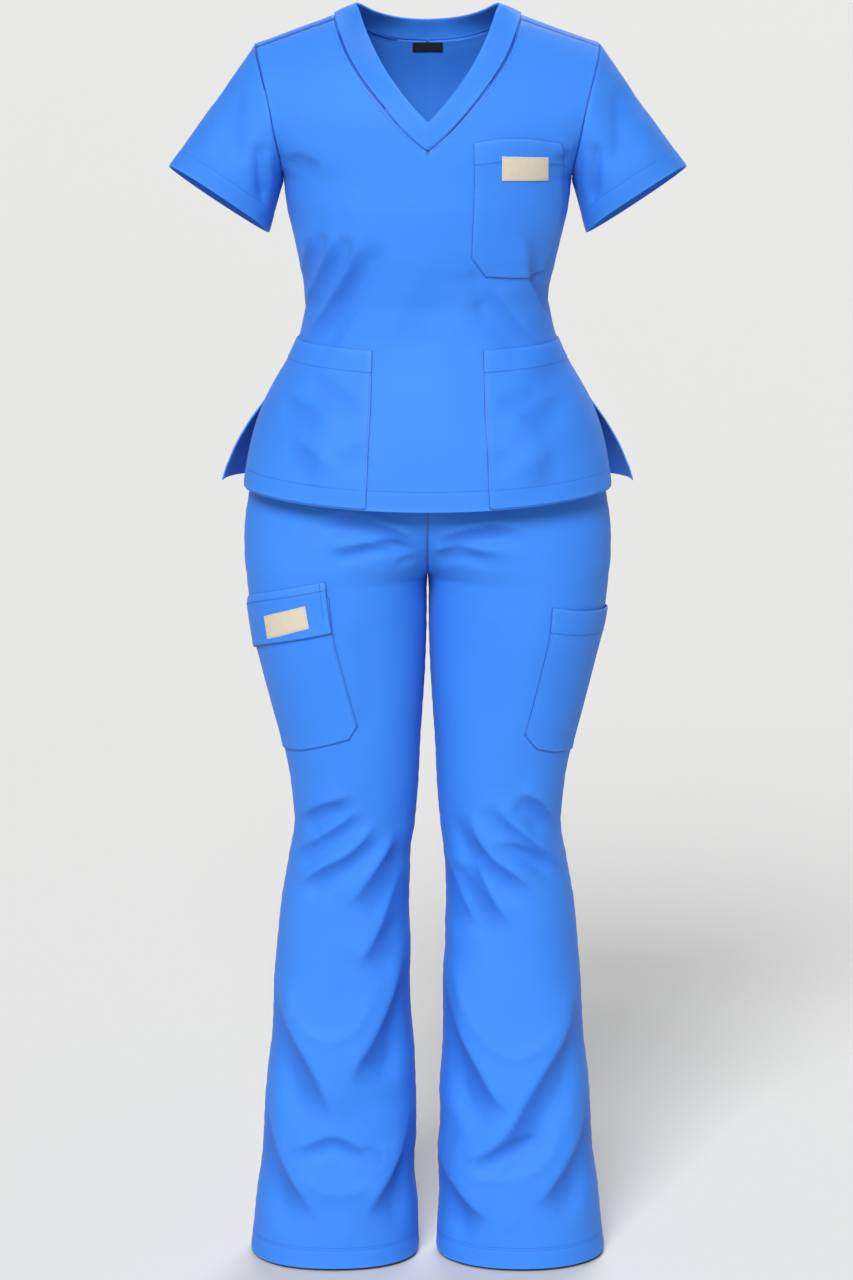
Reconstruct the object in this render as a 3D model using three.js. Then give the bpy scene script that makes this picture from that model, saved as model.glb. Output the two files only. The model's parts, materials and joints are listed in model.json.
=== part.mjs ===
// Medical scrubs: a V-neck short-sleeved top over flared trousers, filled out with no wearer.
// Millimetres. X to the wearer's left, the front faces -Y, +Z up, origin between the shoulder seams.
import * as THREE from "three";

// Cloth and seams
const WALL = 2; // thickness of a sewn panel
const POCKET_WALL = 1.6; // thickness of a patch pocket or flap
const PATCH_WALL = 1; // thickness of a woven patch or label
const SEAM_GAP = 0.3; // clear space between two pieces at a seam
const ROUND = 2.2; // exponent of the rounded oblong that a section of the garment follows
const COLUMNS = 9; // cells from the middle of the top to its side
const LEG_COLUMNS = 10; // cells from an inseam to a side seam
const AROUND = Math.PI * 2;

// Shoulders
const NECK_HALF = 101.7; // middle of the neck to the neckband seam at the shoulder
const RIDGE_Z = 11.8; // top of the shoulder at the neckband seam
const RIDGE_FALL = 0.361; // drop of the shoulder for each millimetre outwards
const SEAM_DROP = 3.5; // the shoulder seam lies this far below the ridge, on the front
const SHOULDER_ROUND = 170; // height over which the body swells below the shoulder ridge
const UNDERARM_Z = -168;
const VENT_Z = -403; // top of the side vents

// Rows of a table as objects with named columns.
function table(columns, rows) {
  const names = columns.split(" ");
  return rows.map((row) => Object.fromEntries(names.map((name, i) => [name, row[i]])));
}

function clamp(value, low = 0, high = 1) {
  return Math.min(high, Math.max(low, value));
}

function mix(a, b, t) {
  return a + (b - a) * t;
}

function smooth(t) {
  const s = clamp(t);
  return s * s * (3 - 2 * s);
}

// Body of the top, one row for each height. Depths are half depths at the middle.
const TORSO = table("z half halfBack front back ventFront ventBack share", [
  [40, 187.6, 187.6, 105, 94, 0, 0, 0.7],
  [-19, 187.6, 187.6, 106, 94, 0, 0, 0.73],
  [-45, 182, 182, 107, 95, 0, 0, 0.8],
  [-70, 175.5, 175.5, 108, 96, 0, 0, 0.78],
  [-95, 170, 170, 111, 96, 0, 0, 0.73],
  [-120, 165, 165, 113, 97, 0, 0, 0.62],
  [-143, 160.5, 160.5, 116, 97, 0, 0, 0.42],
  [-157, 159, 159, 117, 98, 0, 0, 0.24],
  [-168, 158, 158, 118, 98, 0, 0, 0],
  [-195, 155, 155, 121, 100, 0, 0, 0],
  [-234, 146, 146, 119, 98, 0, 0, 0],
  [-274, 137, 137, 111, 91, 0, 0, 0],
  [-301, 134, 134, 106, 88, 0, 0, 0],
  [-327, 138, 138, 107, 90, 0, 0, 0],
  [-354, 148, 148, 113, 97, 0, 0, 0],
  [-381, 162, 162, 121, 108, 0, 0, 0],
  [-403, 175, 175, 127, 115, 0, 0, 0],
  [-437, 189, 199, 137, 124, 9, 6],
  [-470, 197, 217, 144, 131, 18, 11],
  [-504, 202, 229, 148, 137, 25, 15],
  [-530, 206, 234, 150, 140, 27, 16],
]).map((row) => ({ ...row, share: row.share ?? 0 }));

// Neck seam from the V to the shoulder, and the finished edge of the band along it.
const NECK_FRONT = table("x z edgeX edgeZ", [
  [0, -127, 0, -98],
  [28, -104, 16, -81],
  [50, -80, 29, -66],
  [72, -53, 43.5, -48],
  [88, -28, 61, -20],
  [97, -7, 72, 4],
  [NECK_HALF, RIDGE_Z - SEAM_DROP, 77, 20],
]);
const NECK_BACK = table("x z edgeX edgeZ edgeY", [
  [0, -20, 0, 2.5, 66],
  [29, -18, 23, 4, 64],
  [51, -13, 41, 7, 56],
  [74, -4, 60, 13.5, 41],
  [94, 6.5, 72, 20.5, 20],
  [NECK_HALF, RIDGE_Z, 77, 22.5, 5],
]);
const BAND_ROWS = 3;

// Heights where the rows of the upper panels meet the armhole.
const ARMHOLE_ROWS = [-168, -158, -146, -132, -117, -101, -85, -69, -54, -40, -29];
const FRONT_STEPS = 2; // rows below the point of the V
const BACK_STEPS = 6; // rows below the back neck seam

// Rows of the top below the underarm. The last is the hem.
const TOP_ROWS = [
  -168, -187, -206, -225, -244, -263, -282, -301, -320, -339, -358, -376, -390, -403, -420, -437,
  -454, -471, -488, -504,
];
const FRONT_HEM_DIP = 11;
const BACK_HEM_DIP = 4;

// Sleeves
const CUFF = {
  x: 229.5,
  z: -189.5,
  outX: 0.833, // direction from the underarm corner to the outer corner
  outZ: 0.553,
  half: 66,
  depth: 57,
  slant: 9, // the back edge hangs lower than the front edge
};
const SLEEVE_ROWS = 8;

// Legs, one row for each height. "out" and "in" are measured from the middle of the garment,
// "split" runs from 0 where both legs are one body to 1 at the crotch.
const CROTCH_Z = -605;
const LEGS = table("z out in split front back", [
  [-330, 127, 0, 0, 92, 76],
  [-370, 139, 0, 0, 97, 90],
  [-403, 155, 0, 0, 102, 101],
  [-437, 173, 0, 0, 107, 109],
  [-474, 187, 0, 0, 110, 115],
  [-503, 195.5, 0, 0.06, 111, 118],
  [-530, 201, 0, 0.22, 112, 119],
  [-560, 204, 0, 0.52, 112, 118],
  [-585, 204, 0, 0.8, 110, 115],
  [-598, 203, 0, 0.94, 108, 112],
  [-605, 202, 0, 1, 107, 111],
  [-618, 201, 1.2, 1, 106, 109],
  [-660, 196, 1.4, 1, 103, 105],
  [-706, 185.5, 2.8, 1, 98, 99],
  [-752, 174, 5.6, 1, 92, 93],
  [-797, 162.5, 8.4, 1, 85, 86],
  [-843, 154, 10.4, 1, 78, 80],
  [-890, 150, 14.2, 1, 73, 77],
  [-936, 157.5, 19, 1, 72, 77],
  [-983, 165.5, 19.8, 1, 73, 78],
  [-1029, 170, 19.2, 1, 74, 79],
  [-1076, 174, 17.6, 1, 76, 81],
  [-1170, 181.5, 14.6, 1, 80, 84],
  [-1265, 189.5, 11.6, 1, 83, 86],
  [-1360, 199, 11, 1, 86, 88],
  [-1392, 202.5, 10.4, 1, 87, 89],
]);
const WAIST_ROWS = [-330, -370];
const LEG_ROWS = [
  -370, -396, -422, -448, -473, -497, -518, -538, -556, -572, -586, -597, -605, -618, -640, -665,
  -690, -715, -740, -765, -788, -810, -830, -848, -866, -884, -902, -921, -942, -966, -993, -1022,
  -1052, -1082, -1112, -1142, -1172, -1202, -1232, -1262, -1292, -1321, -1347, -1370, -1390,
];

// Folds are drawn out wider and lower here than on the cloth, to suit the size of the facets.
const FOLD_WIDTH = 1.3;
const FOLD_RISE = 0.85;

// Folds of the top that show in the form, each a soft ridge (rise above 0) or trough (below 0)
// along a path of x, z points. "both" also puts it on the other side, mirrored.
const TOP_FOLDS = table("face both rise width path", [
  ["front", false, 4, 13, [[-126, -212], [-134, -250], [-140, -285]]],
  ["front", false, -4, 14, [[-96, -222], [-106, -262], [-121, -299], [-140, -338]]],
  ["front", false, 4.5, 13, [[-76, -210], [-88, -262], [-105, -295], [-130, -338]]],
  ["front", false, -4, 16, [[-58, -232], [-70, -280], [-92, -325]]],
  ["front", false, -2.5, 22, [[-6, -262], [-26, -305], [-46, -345]]],
  ["front", false, 4.5, 14, [[99, -208], [106, -252], [112, -284], [132, -326]]],
  ["front", false, -4, 13, [[114, -222], [121, -270], [131, -305]]],
  ["front", false, -3.5, 15, [[76, -266], [100, -300], [122, -334]]],
  ["front", false, -2, 18, [[46, -262], [54, -320]]],
  ["front", true, -3, 14, [[116, -142], [138, -122], [156, -132]]],
  ["front", false, 3.5, 20, [[-100, -400], [-112, -450], [-120, -504]]],
  ["front", false, 3.5, 22, [[96, -410], [112, -455], [118, -504]]],
  ["front", false, -3, 20, [[-150, -405], [-118, -418]]],
  ["front", false, -3.5, 18, [[148, -404], [118, -412], [92, -426]]],
  ["front", false, 2.5, 26, [[-10, -420], [4, -504]]],
  ["back", true, 4, 15, [[104, -205], [110, -260], [126, -310]]],
  ["back", true, -4, 15, [[84, -225], [92, -280], [108, -330]]],
  ["back", true, 3.5, 18, [[56, -230], [62, -290], [76, -345]]],
  ["back", false, -3.5, 22, [[-20, -235], [-26, -290], [-14, -350]]],
  ["back", false, 3, 22, [[18, -225], [24, -300], [16, -360]]],
  ["back", true, 5, 24, [[128, -400], [150, -450], [160, -504]]],
  ["back", true, -5, 24, [[84, -395], [94, -450], [100, -504]]],
  ["back", false, 4, 26, [[24, -400], [34, -504]]],
  ["back", false, -3.5, 24, [[-30, -395], [-40, -504]]],
  ["back", true, -3, 16, [[120, -70], [134, -110], [120, -150]]],
]);

// Folds of the legs in the same form. The x is that of the front view.
const LEG_FOLDS = table("face both rise width path", [
  ["front", false, 3.5, 12, [[-112, -520], [-72, -528], [-36, -541], [-10, -560]]],
  ["front", false, -3, 12, [[-104, -546], [-64, -542], [-20, -566]]],
  ["front", false, 3.5, 12, [[106, -538], [66, -530], [30, -542], [10, -560]]],
  ["front", false, -3, 12, [[92, -553], [52, -546], [18, -570]]],
  ["front", false, 4, 14, [[-152, -886], [-122, -858], [-86, -843]]],
  ["front", false, -4, 12, [[-148, -902], [-124, -880], [-96, -864]]],
  ["front", false, 4.5, 14, [[-154, -930], [-122, -899], [-90, -879], [-62, -862]]],
  ["front", false, -4, 12, [[-150, -945], [-120, -920], [-86, -896], [-58, -880]]],
  ["front", false, 4, 14, [[-124, -954], [-96, -930], [-68, -905], [-44, -872]]],
  ["front", false, -4.5, 18, [[-36, -912], [-60, -944], [-84, -975], [-76, -1000]]],
  ["front", false, 4.5, 14, [[73, -855], [96, -880], [122, -905], [156, -936]]],
  ["front", false, -4, 12, [[66, -886], [100, -908], [140, -930], [158, -950]]],
  ["front", false, 4, 14, [[50, -874], [66, -904], [94, -930], [134, -960]]],
  ["front", false, -4.5, 16, [[28, -893], [48, -926], [80, -962], [106, -1002]]],
  ["front", false, 3.5, 14, [[124, -820], [134, -850], [148, -880]]],
  ["front", false, 5, 18, [[-170, -1060], [-148, -1100], [-120, -1128], [-84, -1110], [-58, -1062], [-34, -1015]]],
  ["front", false, -5, 18, [[-172, -1085], [-150, -1146], [-122, -1195], [-104, -1215]]],
  ["front", false, -5, 18, [[-26, -1035], [-46, -1102], [-72, -1158], [-90, -1190]]],
  ["front", false, 3.5, 14, [[-136, -1132], [-108, -1187], [-100, -1222]]],
  ["front", false, -4, 16, [[-134, -1260], [-104, -1247], [-72, -1260], [-54, -1278]]],
  ["front", false, 4.5, 18, [[-178, -1185], [-162, -1252], [-136, -1296], [-100, -1309], [-58, -1293], [-32, -1262]]],
  ["front", false, -4.5, 18, [[-180, -1250], [-160, -1302], [-122, -1335]]],
  ["front", false, -4, 16, [[-22, -1250], [-36, -1300], [-74, -1335]]],
  ["front", false, 5, 18, [[26, -1020], [46, -1110], [70, -1140], [98, -1152], [130, -1139], [152, -1105], [168, -1066]]],
  ["front", false, -5, 18, [[30, -1085], [40, -1136], [66, -1192], [94, -1206]]],
  ["front", false, -4.5, 18, [[172, -1085], [158, -1145], [134, -1190], [108, -1213]]],
  ["front", false, 3.5, 15, [[134, -1146], [104, -1202], [70, -1262], [42, -1290]]],
  ["front", false, -4, 16, [[48, -1284], [72, -1266], [88, -1246], [110, -1238], [136, -1252]]],
  ["front", false, 4.5, 18, [[20, -1180], [30, -1252], [48, -1298], [80, -1336]]],
  ["front", false, -4, 18, [[180, -1235], [166, -1290], [124, -1325]]],
  ["back", true, 4, 16, [[40, -600], [78, -622], [128, -632]]],
  ["back", true, -4, 16, [[28, -628], [70, -650], [120, -660]]],
  ["back", true, 4.5, 15, [[26, -862], [70, -878], [124, -862]]],
  ["back", true, -4.5, 14, [[28, -890], [76, -904], [138, -888]]],
  ["back", true, 4.5, 16, [[30, -920], [80, -936], [148, -918]]],
  ["back", true, -4, 18, [[38, -955], [90, -975], [150, -950]]],
  ["back", true, 4.5, 20, [[30, -1080], [70, -1150], [110, -1160], [165, -1090]]],
  ["back", true, -4.5, 20, [[36, -1180], [80, -1240], [120, -1240], [170, -1170]]],
  ["back", true, 4, 20, [[28, -1260], [76, -1310], [120, -1315], [178, -1260]]],
]);

// Outlines of what lies on a panel, corners as x, z on the front.
const CHEST_POCKET = [[49, -120], [78, -115], [106, -115], [144, -122], [148, -150], [147, -193], [140, -220], [127, -263], [108, -267], [63, -265], [47, -243]];
const CHEST_PATCH = [[79, -134], [129, -136], [129, -162], [79, -160]];
const WAIST_POCKET = [[59, -345], [100, -344], [230, -339], [260, -560], [66, -560], [61, -409]];
const NECK_LABEL = [[-17, -22], [17, -22], [17, -32], [-17, -32]];
// Outlines on a thigh, corners as mm round the leg from the side seam (front above 0) and z.
const CARGO_REAR = -34; // the thigh pockets run this far behind the side seam
const CARGO_RIGHT = { topZ: -616, rearTopZ: -665, frontTop: -108, frontLow: -77, sideZ: -763, chamfer: -87, chamferZ: -779, floorZ: -796 };
const CARGO_LEFT = { topZ: -628, rearTopZ: -646, frontTop: 136, frontLow: 107, sideZ: -774, chamfer: 120, chamferZ: -791, floorZ: -798 };
const FLAP = { top: -112, topZ: -598, low: -105, lowZ: -655, rearTopZ: -642, rearLowZ: -698 };
const FLAP_PATCH = [[-177, -642], [-133, -625], [-129, -650], [-173, -668]];

// Slope of a column at one row, flat where the column turns.
function slopeAt(rows, column, i) {
  const here = rows[i];
  const above = rows[Math.max(i - 1, 0)];
  const below = rows[Math.min(i + 1, rows.length - 1)];
  if (above === here || below === here) {
    return (below[column] - above[column]) / (below.z - above.z);
  }
  const first = (here[column] - above[column]) / (here.z - above.z);
  const second = (below[column] - here[column]) / (below.z - here.z);
  return first * second <= 0 ? 0 : (2 * first * second) / (first + second);
}

// Value of a column at a height, smooth from row to row.
function at(rows, column, z) {
  const last = rows.length - 1;
  if (z >= rows[0].z) return rows[0][column];
  if (z <= rows[last].z) return rows[last][column];
  let i = 0;
  while (z < rows[i + 1].z) i += 1;
  const step = rows[i + 1].z - rows[i].z;
  const t = (z - rows[i].z) / step;
  const start = slopeAt(rows, column, i) * step;
  const end = slopeAt(rows, column, i + 1) * step;
  const bend = 3 * (rows[i + 1][column] - rows[i][column]) - 2 * start - end;
  const turn = start + end - 2 * (rows[i + 1][column] - rows[i][column]);
  return rows[i][column] + t * (start + t * (bend + t * turn));
}

// Height of the shoulder ridge above a place.
function ridgeZ(x) {
  return RIDGE_Z - RIDGE_FALL * (Math.abs(x) - NECK_HALF);
}

// Half width of the front or the back. They part only below the top of the vents.
function torsoHalf(face, z) {
  return at(TORSO, face === "back" && z < VENT_Z ? "halfBack" : "half", z);
}

// Depth of the body of the top in front of or behind the middle, at a place in the front view.
function torsoDepth(face, x, z) {
  const half = torsoHalf(face, z);
  const share = at(TORSO, "share", z);
  const full = half / (1 - share ** ROUND) ** (1 / ROUND);
  const below = clamp((ridgeZ(x) - z) / SHOULDER_ROUND);
  const swell = (1 - (1 - below) ** 2.2) ** 0.55;
  const across = Math.max(0, 1 - Math.min(1, Math.abs(x) / full) ** ROUND) ** (1 / ROUND);
  const open = at(TORSO, face === "front" ? "ventFront" : "ventBack", z);
  return open + (at(TORSO, face, z) - open) * swell * across;
}

function torsoPoint(face, x, z) {
  const depth = torsoDepth(face, x, z);
  return new THREE.Vector3(x, face === "front" ? -depth : depth, z);
}

// Share of the way from the middle to the side for a column.
function spread(j, count) {
  return Math.sin((j / count) * (Math.PI / 2)) ** (2 / ROUND);
}

// Points spaced evenly along a path of x, z pairs.
function along(path, count) {
  const curve = new THREE.CatmullRomCurve3(
    path.map(([x, z]) => new THREE.Vector3(x, 0, z)),
    false,
    "centripetal",
  );
  return curve.getSpacedPoints(count).map((p) => [p.x, p.z]);
}

// A cloth is a set of pieces that share the points of their seams.
class Cloth {
  constructor() {
    this.points = [];
    this.places = new Map();
    this.faces = [];
  }

  // Index of the point at a place.
  point(p) {
    const key = [p.x, p.y, p.z].map((c) => Math.round(c * 1e3)).join(" ");
    if (!this.places.has(key)) {
      this.places.set(key, this.points.length);
      this.points.push(p.clone());
    }
    return this.places.get(key);
  }

  // Adds a triangle. "flats" holds the places of its corners on the laid-out piece.
  face(piece, corners, flats) {
    if (new Set(corners).size === 3) this.faces.push({ piece, corners, flats });
  }

  // Adds rows of points to a piece. "turned" swaps which side faces out.
  grid(piece, rows, turned = false, flats = null) {
    const spots = rows.map((row, i) =>
      row.map((p, j) => ({ id: this.point(p), flat: flats ? flats[i][j] : [p.x, p.z] })),
    );
    const add = (...three) => this.face(piece, three.map((s) => s.id), three.map((s) => s.flat));
    for (let i = 0; i + 1 < spots.length; i += 1) {
      for (let j = 0; j + 1 < spots[i].length; j += 1) {
        const [a, b, c, d] = [spots[i][j], spots[i][j + 1], spots[i + 1][j + 1], spots[i + 1][j]];
        if (turned) {
          add(a, b, c);
          add(a, c, d);
        } else {
          add(a, d, b);
          add(b, d, c);
        }
      }
    }
  }

  // Outward direction at each point, averaged over the faces round it that pass a test.
  normalsOf(test = () => true) {
    const normals = this.points.map(() => new THREE.Vector3());
    for (const { piece, corners } of this.faces) {
      if (!test(piece)) continue;
      const [a, b, c] = corners.map((i) => this.points[i]);
      const across = new THREE.Vector3().subVectors(b, a);
      const normal = across.cross(new THREE.Vector3().subVectors(c, a));
      corners.forEach((i) => normals[i].add(normal));
    }
    return normals.map((n) => n.normalize());
  }

  // Moves each point along its direction by the rise of the folds there.
  fold(riseAt) {
    const before = this.normalsOf();
    this.points.forEach((p, i) => p.addScaledVector(before[i], riseAt(p)));
    this.normals = this.normalsOf();
  }

  // The faces of a piece as a layer of its own, its seam edges drawn in by half the gap. Where it
  // meets another piece in a hollow, it keeps the direction of its own group of pieces.
  layer(piece, group = () => true) {
    const made = { points: [], normals: [], faces: [] };
    const own = this.normalsOf(group);
    const seat = new Map();
    const mine = this.faces.filter((f) => f.piece === piece);
    const others = new Set();
    this.faces
      .filter((f) => f.piece !== piece)
      .forEach((f) => f.corners.forEach((a, k) => others.add(`${a} ${f.corners[(k + 1) % 3]}`)));
    for (const { corners } of mine) {
      made.faces.push(
        corners.map((i) => {
          if (!seat.has(i)) {
            seat.set(i, made.points.length);
            made.points.push(this.points[i].clone());
            made.normals.push(this.normals[i].clone());
          }
          return seat.get(i);
        }),
      );
    }
    const pulls = new Map();
    for (const { corners } of mine) {
      corners.forEach((a, k) => {
        const b = corners[(k + 1) % 3];
        if (!others.has(`${b} ${a}`)) return;
        const [from, to, third] = [a, b, corners[(k + 2) % 3]].map((i) => this.points[i]);
        const edge = new THREE.Vector3().subVectors(to, from).normalize();
        const inward = new THREE.Vector3().subVectors(third, from);
        inward.addScaledVector(edge, -inward.dot(edge)).normalize();
        [a, b].forEach((i) => pulls.set(i, [...(pulls.get(i) ?? []), inward]));
      });
    }
    for (const [i, list] of pulls) {
      const move = new THREE.Vector3();
      list.forEach((v) => move.add(v));
      move.normalize();
      const least = Math.min(...list.map((v) => v.dot(move)));
      if (move.dot(this.normals[i]) > 0.05) made.normals[seat.get(i)].copy(own[i]);
      made.points[seat.get(i)].addScaledVector(move, SEAM_GAP / 2 / Math.max(least, 0.5));
    }
    return made;
  }

  // The part of some pieces inside a convex outline on the laid-out cloth, cut face by face.
  cut(pieces, outline) {
    const made = new Cloth();
    const [normals, flat] = [[], []];
    const turn = area(outline) < 0 ? [...outline].reverse() : outline;
    for (const { piece, corners, flats } of this.faces) {
      if (!pieces.includes(piece)) continue;
      let shape = corners.map((i, k) => ({ flat: flats[k], p: this.points[i], n: this.normals[i] }));
      turn.forEach(([x, z], k) => {
        const [nextX, nextZ] = turn[(k + 1) % turn.length];
        shape = clip(shape, (f) => (nextX - x) * (f[1] - z) - (nextZ - z) * (f[0] - x));
      });
      const ids = shape.map((spot) => {
        const id = made.point(spot.p);
        normals[id] = spot.n.clone().normalize();
        flat[id] = spot.flat;
        return id;
      });
      for (let k = 1; k + 1 < ids.length; k += 1) made.face(piece, [ids[0], ids[k], ids[k + 1]]);
    }
    return { points: made.points, normals, flat, faces: made.faces.map((f) => f.corners) };
  }
}

// Area of an outline, above 0 when it runs anticlockwise.
function area(outline) {
  return outline.reduce((sum, [x, z], k) => {
    const [nextX, nextZ] = outline[(k + 1) % outline.length];
    return sum + (x * nextZ - nextX * z) / 2;
  }, 0);
}

// Keeps the side of a shape where a measure is above 0.
function clip(shape, measure) {
  const kept = [];
  shape.forEach((here, k) => {
    const next = shape[(k + 1) % shape.length];
    const [m, mNext] = [measure(here.flat), measure(next.flat)];
    if (m >= 0) kept.push(here);
    if (m >= 0 !== mNext >= 0) {
      const [low, high, mLow, mHigh] = m < mNext ? [here, next, m, mNext] : [next, here, mNext, m];
      const t = mLow / (mLow - mHigh);
      kept.push({
        flat: [mix(low.flat[0], high.flat[0], t), mix(low.flat[1], high.flat[1], t)],
        p: low.p.clone().lerp(high.p, t),
        n: low.n.clone().lerp(high.n, t),
      });
    }
  });
  return kept;
}

// A closed wall between two distances from a layer. A distance is a number or a rule of the place.
function wall({ points, normals, flat, faces }, inner, outer) {
  const reach = (rule, i) => (typeof rule === "number" ? rule : rule(flat[i]));
  const side = (rule) => points.map((p, i) => p.clone().addScaledVector(normals[i], reach(rule, i)));
  const corners = [...side(outer), ...side(inner)];
  const shift = points.length;
  const edges = new Set(faces.flatMap((f) => f.map((a, k) => `${a} ${f[(k + 1) % 3]}`)));
  const triangles = [];
  for (const f of faces) {
    triangles.push(f, [f[2] + shift, f[1] + shift, f[0] + shift]);
    f.forEach((a, k) => {
      const b = f[(k + 1) % 3];
      if (edges.has(`${b} ${a}`)) return;
      triangles.push([b, a, a + shift], [b, a + shift, b + shift]);
    });
  }
  const geometry = new THREE.BufferGeometry();
  geometry.setAttribute("position", new THREE.Float32BufferAttribute(corners.flatMap((p) => p.toArray()), 3));
  geometry.setIndex(triangles.flat());
  geometry.computeVertexNormals();
  return geometry;
}

// Rise of a list of folds at a place of the front view.
function foldRise(folds, face, x, z) {
  let rise = 0;
  for (const fold of folds) {
    if (fold.face !== face) continue;
    for (const sign of fold.both ? [1, -1] : [1]) {
      const [distance, share] = nearest(fold.path, x * sign, z);
      const width = fold.width * FOLD_WIDTH;
      if (distance > 3 * width) continue;
      const ends = smooth(share * 4) * smooth((1 - share) * 4);
      rise += fold.rise * FOLD_RISE * (0.25 + 0.75 * ends) * Math.exp(-((distance / width) ** 2));
    }
  }
  return rise;
}

// Distance to a path and how far along it the nearest place is, from 0 to 1.
function nearest(path, x, z) {
  let best = [Infinity, 0];
  const spans = path.length - 1;
  for (let i = 0; i < spans; i += 1) {
    const [ax, az] = path[i];
    const [dx, dz] = [path[i + 1][0] - ax, path[i + 1][1] - az];
    const t = clamp(((x - ax) * dx + (z - az) * dz) / (dx * dx + dz * dz));
    const distance = Math.hypot(x - ax - dx * t, z - az - dz * t);
    if (distance < best[0]) best = [distance, (i + t) / spans];
  }
  return best;
}

// Rows of one half of an upper panel, from the underarm to the shoulder. "sign" is the side.
function upperRows(face, sign) {
  const steps = face === "front" ? FRONT_STEPS : BACK_STEPS;
  const neck = face === "front" ? NECK_FRONT : NECK_BACK;
  const lowZ = neck[0].z;
  const last = ARMHOLE_ROWS.length - 1;
  const curve = along(neck.map((row) => [row.x, row.z]), last + 1 - steps);
  const inner = ARMHOLE_ROWS.map((_, k) =>
    k < steps ? [0, mix(UNDERARM_Z, lowZ, k / steps)] : curve[k - steps],
  );
  const rows = ARMHOLE_ROWS.map((z, k) => line(face, sign, inner[k], [at(TORSO, "half", z), z]));
  const drop = face === "front" ? SEAM_DROP : 0;
  const tip = at(TORSO, "half", -19);
  rows.push(line(face, sign, [NECK_HALF, RIDGE_Z - drop], [tip, ridgeZ(tip) - drop]));
  if (face === "back") {
    rows.push(line("front", sign, [NECK_HALF, RIDGE_Z - SEAM_DROP], [tip, ridgeZ(tip) - SEAM_DROP]));
  }
  return rows;
}

// Points of a panel on a straight line in the front view.
function line(face, sign, [x0, z0], [x1, z1]) {
  return Array.from({ length: COLUMNS + 1 }, (_, j) => {
    const s = spread(j, COLUMNS);
    return torsoPoint(face, sign * mix(x0, x1, s), mix(z0, z1, s));
  });
}

// Rows of a panel below the underarm, side to side.
function lowerRows(face) {
  const dip = face === "front" ? FRONT_HEM_DIP : BACK_HEM_DIP;
  const columns = Array.from({ length: COLUMNS * 2 + 1 }, (_, j) => j - COLUMNS);
  return TOP_ROWS.map((z) => {
    const half = torsoHalf(face, z);
    const low = smooth((UNDERARM_Z - z) / (UNDERARM_Z - TOP_ROWS.at(-1)));
    return columns.map((j) => {
      const s = spread(Math.abs(j), COLUMNS) * Math.sign(j);
      const sag = dip * low * (1 - s * s);
      const p = torsoPoint(face, half * s, z);
      p.z -= sag;
      return p;
    });
  });
}

// Neck seam points and the finished edge points of the band, once round from the V.
function neckRing() {
  const frontCount = ARMHOLE_ROWS.length - FRONT_STEPS;
  const backCount = ARMHOLE_ROWS.length - BACK_STEPS;
  const frontSeam = along(NECK_FRONT.map((r) => [r.x, r.z]), frontCount);
  const frontEdge = along(NECK_FRONT.map((r) => [r.edgeX, r.edgeZ]), frontCount);
  const backSeam = along(NECK_BACK.map((r) => [r.x, r.z]), backCount);
  const backEdge = along(NECK_BACK.map((r) => [r.edgeX, r.edgeZ]), backCount);
  const backDepth = along(NECK_BACK.map((r) => [r.edgeX, r.edgeY]), backCount);
  const half = frontSeam.map(([x, z], k) => ({
    seam: torsoPoint("front", x, z),
    edge: new THREE.Vector3(frontEdge[k][0], -frontEdgeDepth(...frontEdge[k]), frontEdge[k][1]),
  }));
  for (let k = backCount; k >= 0; k -= 1) {
    half.push({
      seam: torsoPoint("back", ...backSeam[k]),
      edge: new THREE.Vector3(backEdge[k][0], backDepth[k][1], backEdge[k][1]),
    });
  }
  const mirrored = half
    .slice(1, -1)
    .reverse()
    .map(({ seam, edge }) => ({ seam: flipX(seam), edge: flipX(edge) }));
  return [...half, ...mirrored];
}

// Depth of the finished edge in front: it lies on the line of the panel and nears the ridge.
function frontEdgeDepth(x, z) {
  const rise = clamp((z + 98) / 119);
  return mix(torsoDepth("front", x, Math.min(z, -60)), 6, smooth(rise) ** 1.6);
}

function flipX(p) {
  return new THREE.Vector3(-p.x, p.y, p.z);
}

// Rows of the band from the neck seam to its finished edge, with a soft swell.
function bandRows() {
  const ring = neckRing();
  ring.push(ring[0]);
  return Array.from({ length: BAND_ROWS + 1 }, (_, i) => {
    const t = i / BAND_ROWS;
    return ring.map(({ seam, edge }) => {
      const p = seam.clone().lerp(edge, t);
      const out = new THREE.Vector3(seam.x, seam.y, 30).normalize();
      return i === 0 ? p : p.addScaledVector(out, 1.2 * Math.sin(Math.PI * Math.min(t, 0.98)));
    });
  });
}

// Armhole seam once round, from the shoulder down the front and up the back.
function armholeRing(sign) {
  const front = upperRows("front", sign).map((row) => row.at(-1));
  const back = upperRows("back", sign).map((row) => row.at(-1));
  return [...front.reverse(), ...back.slice(1, -1)];
}

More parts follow.
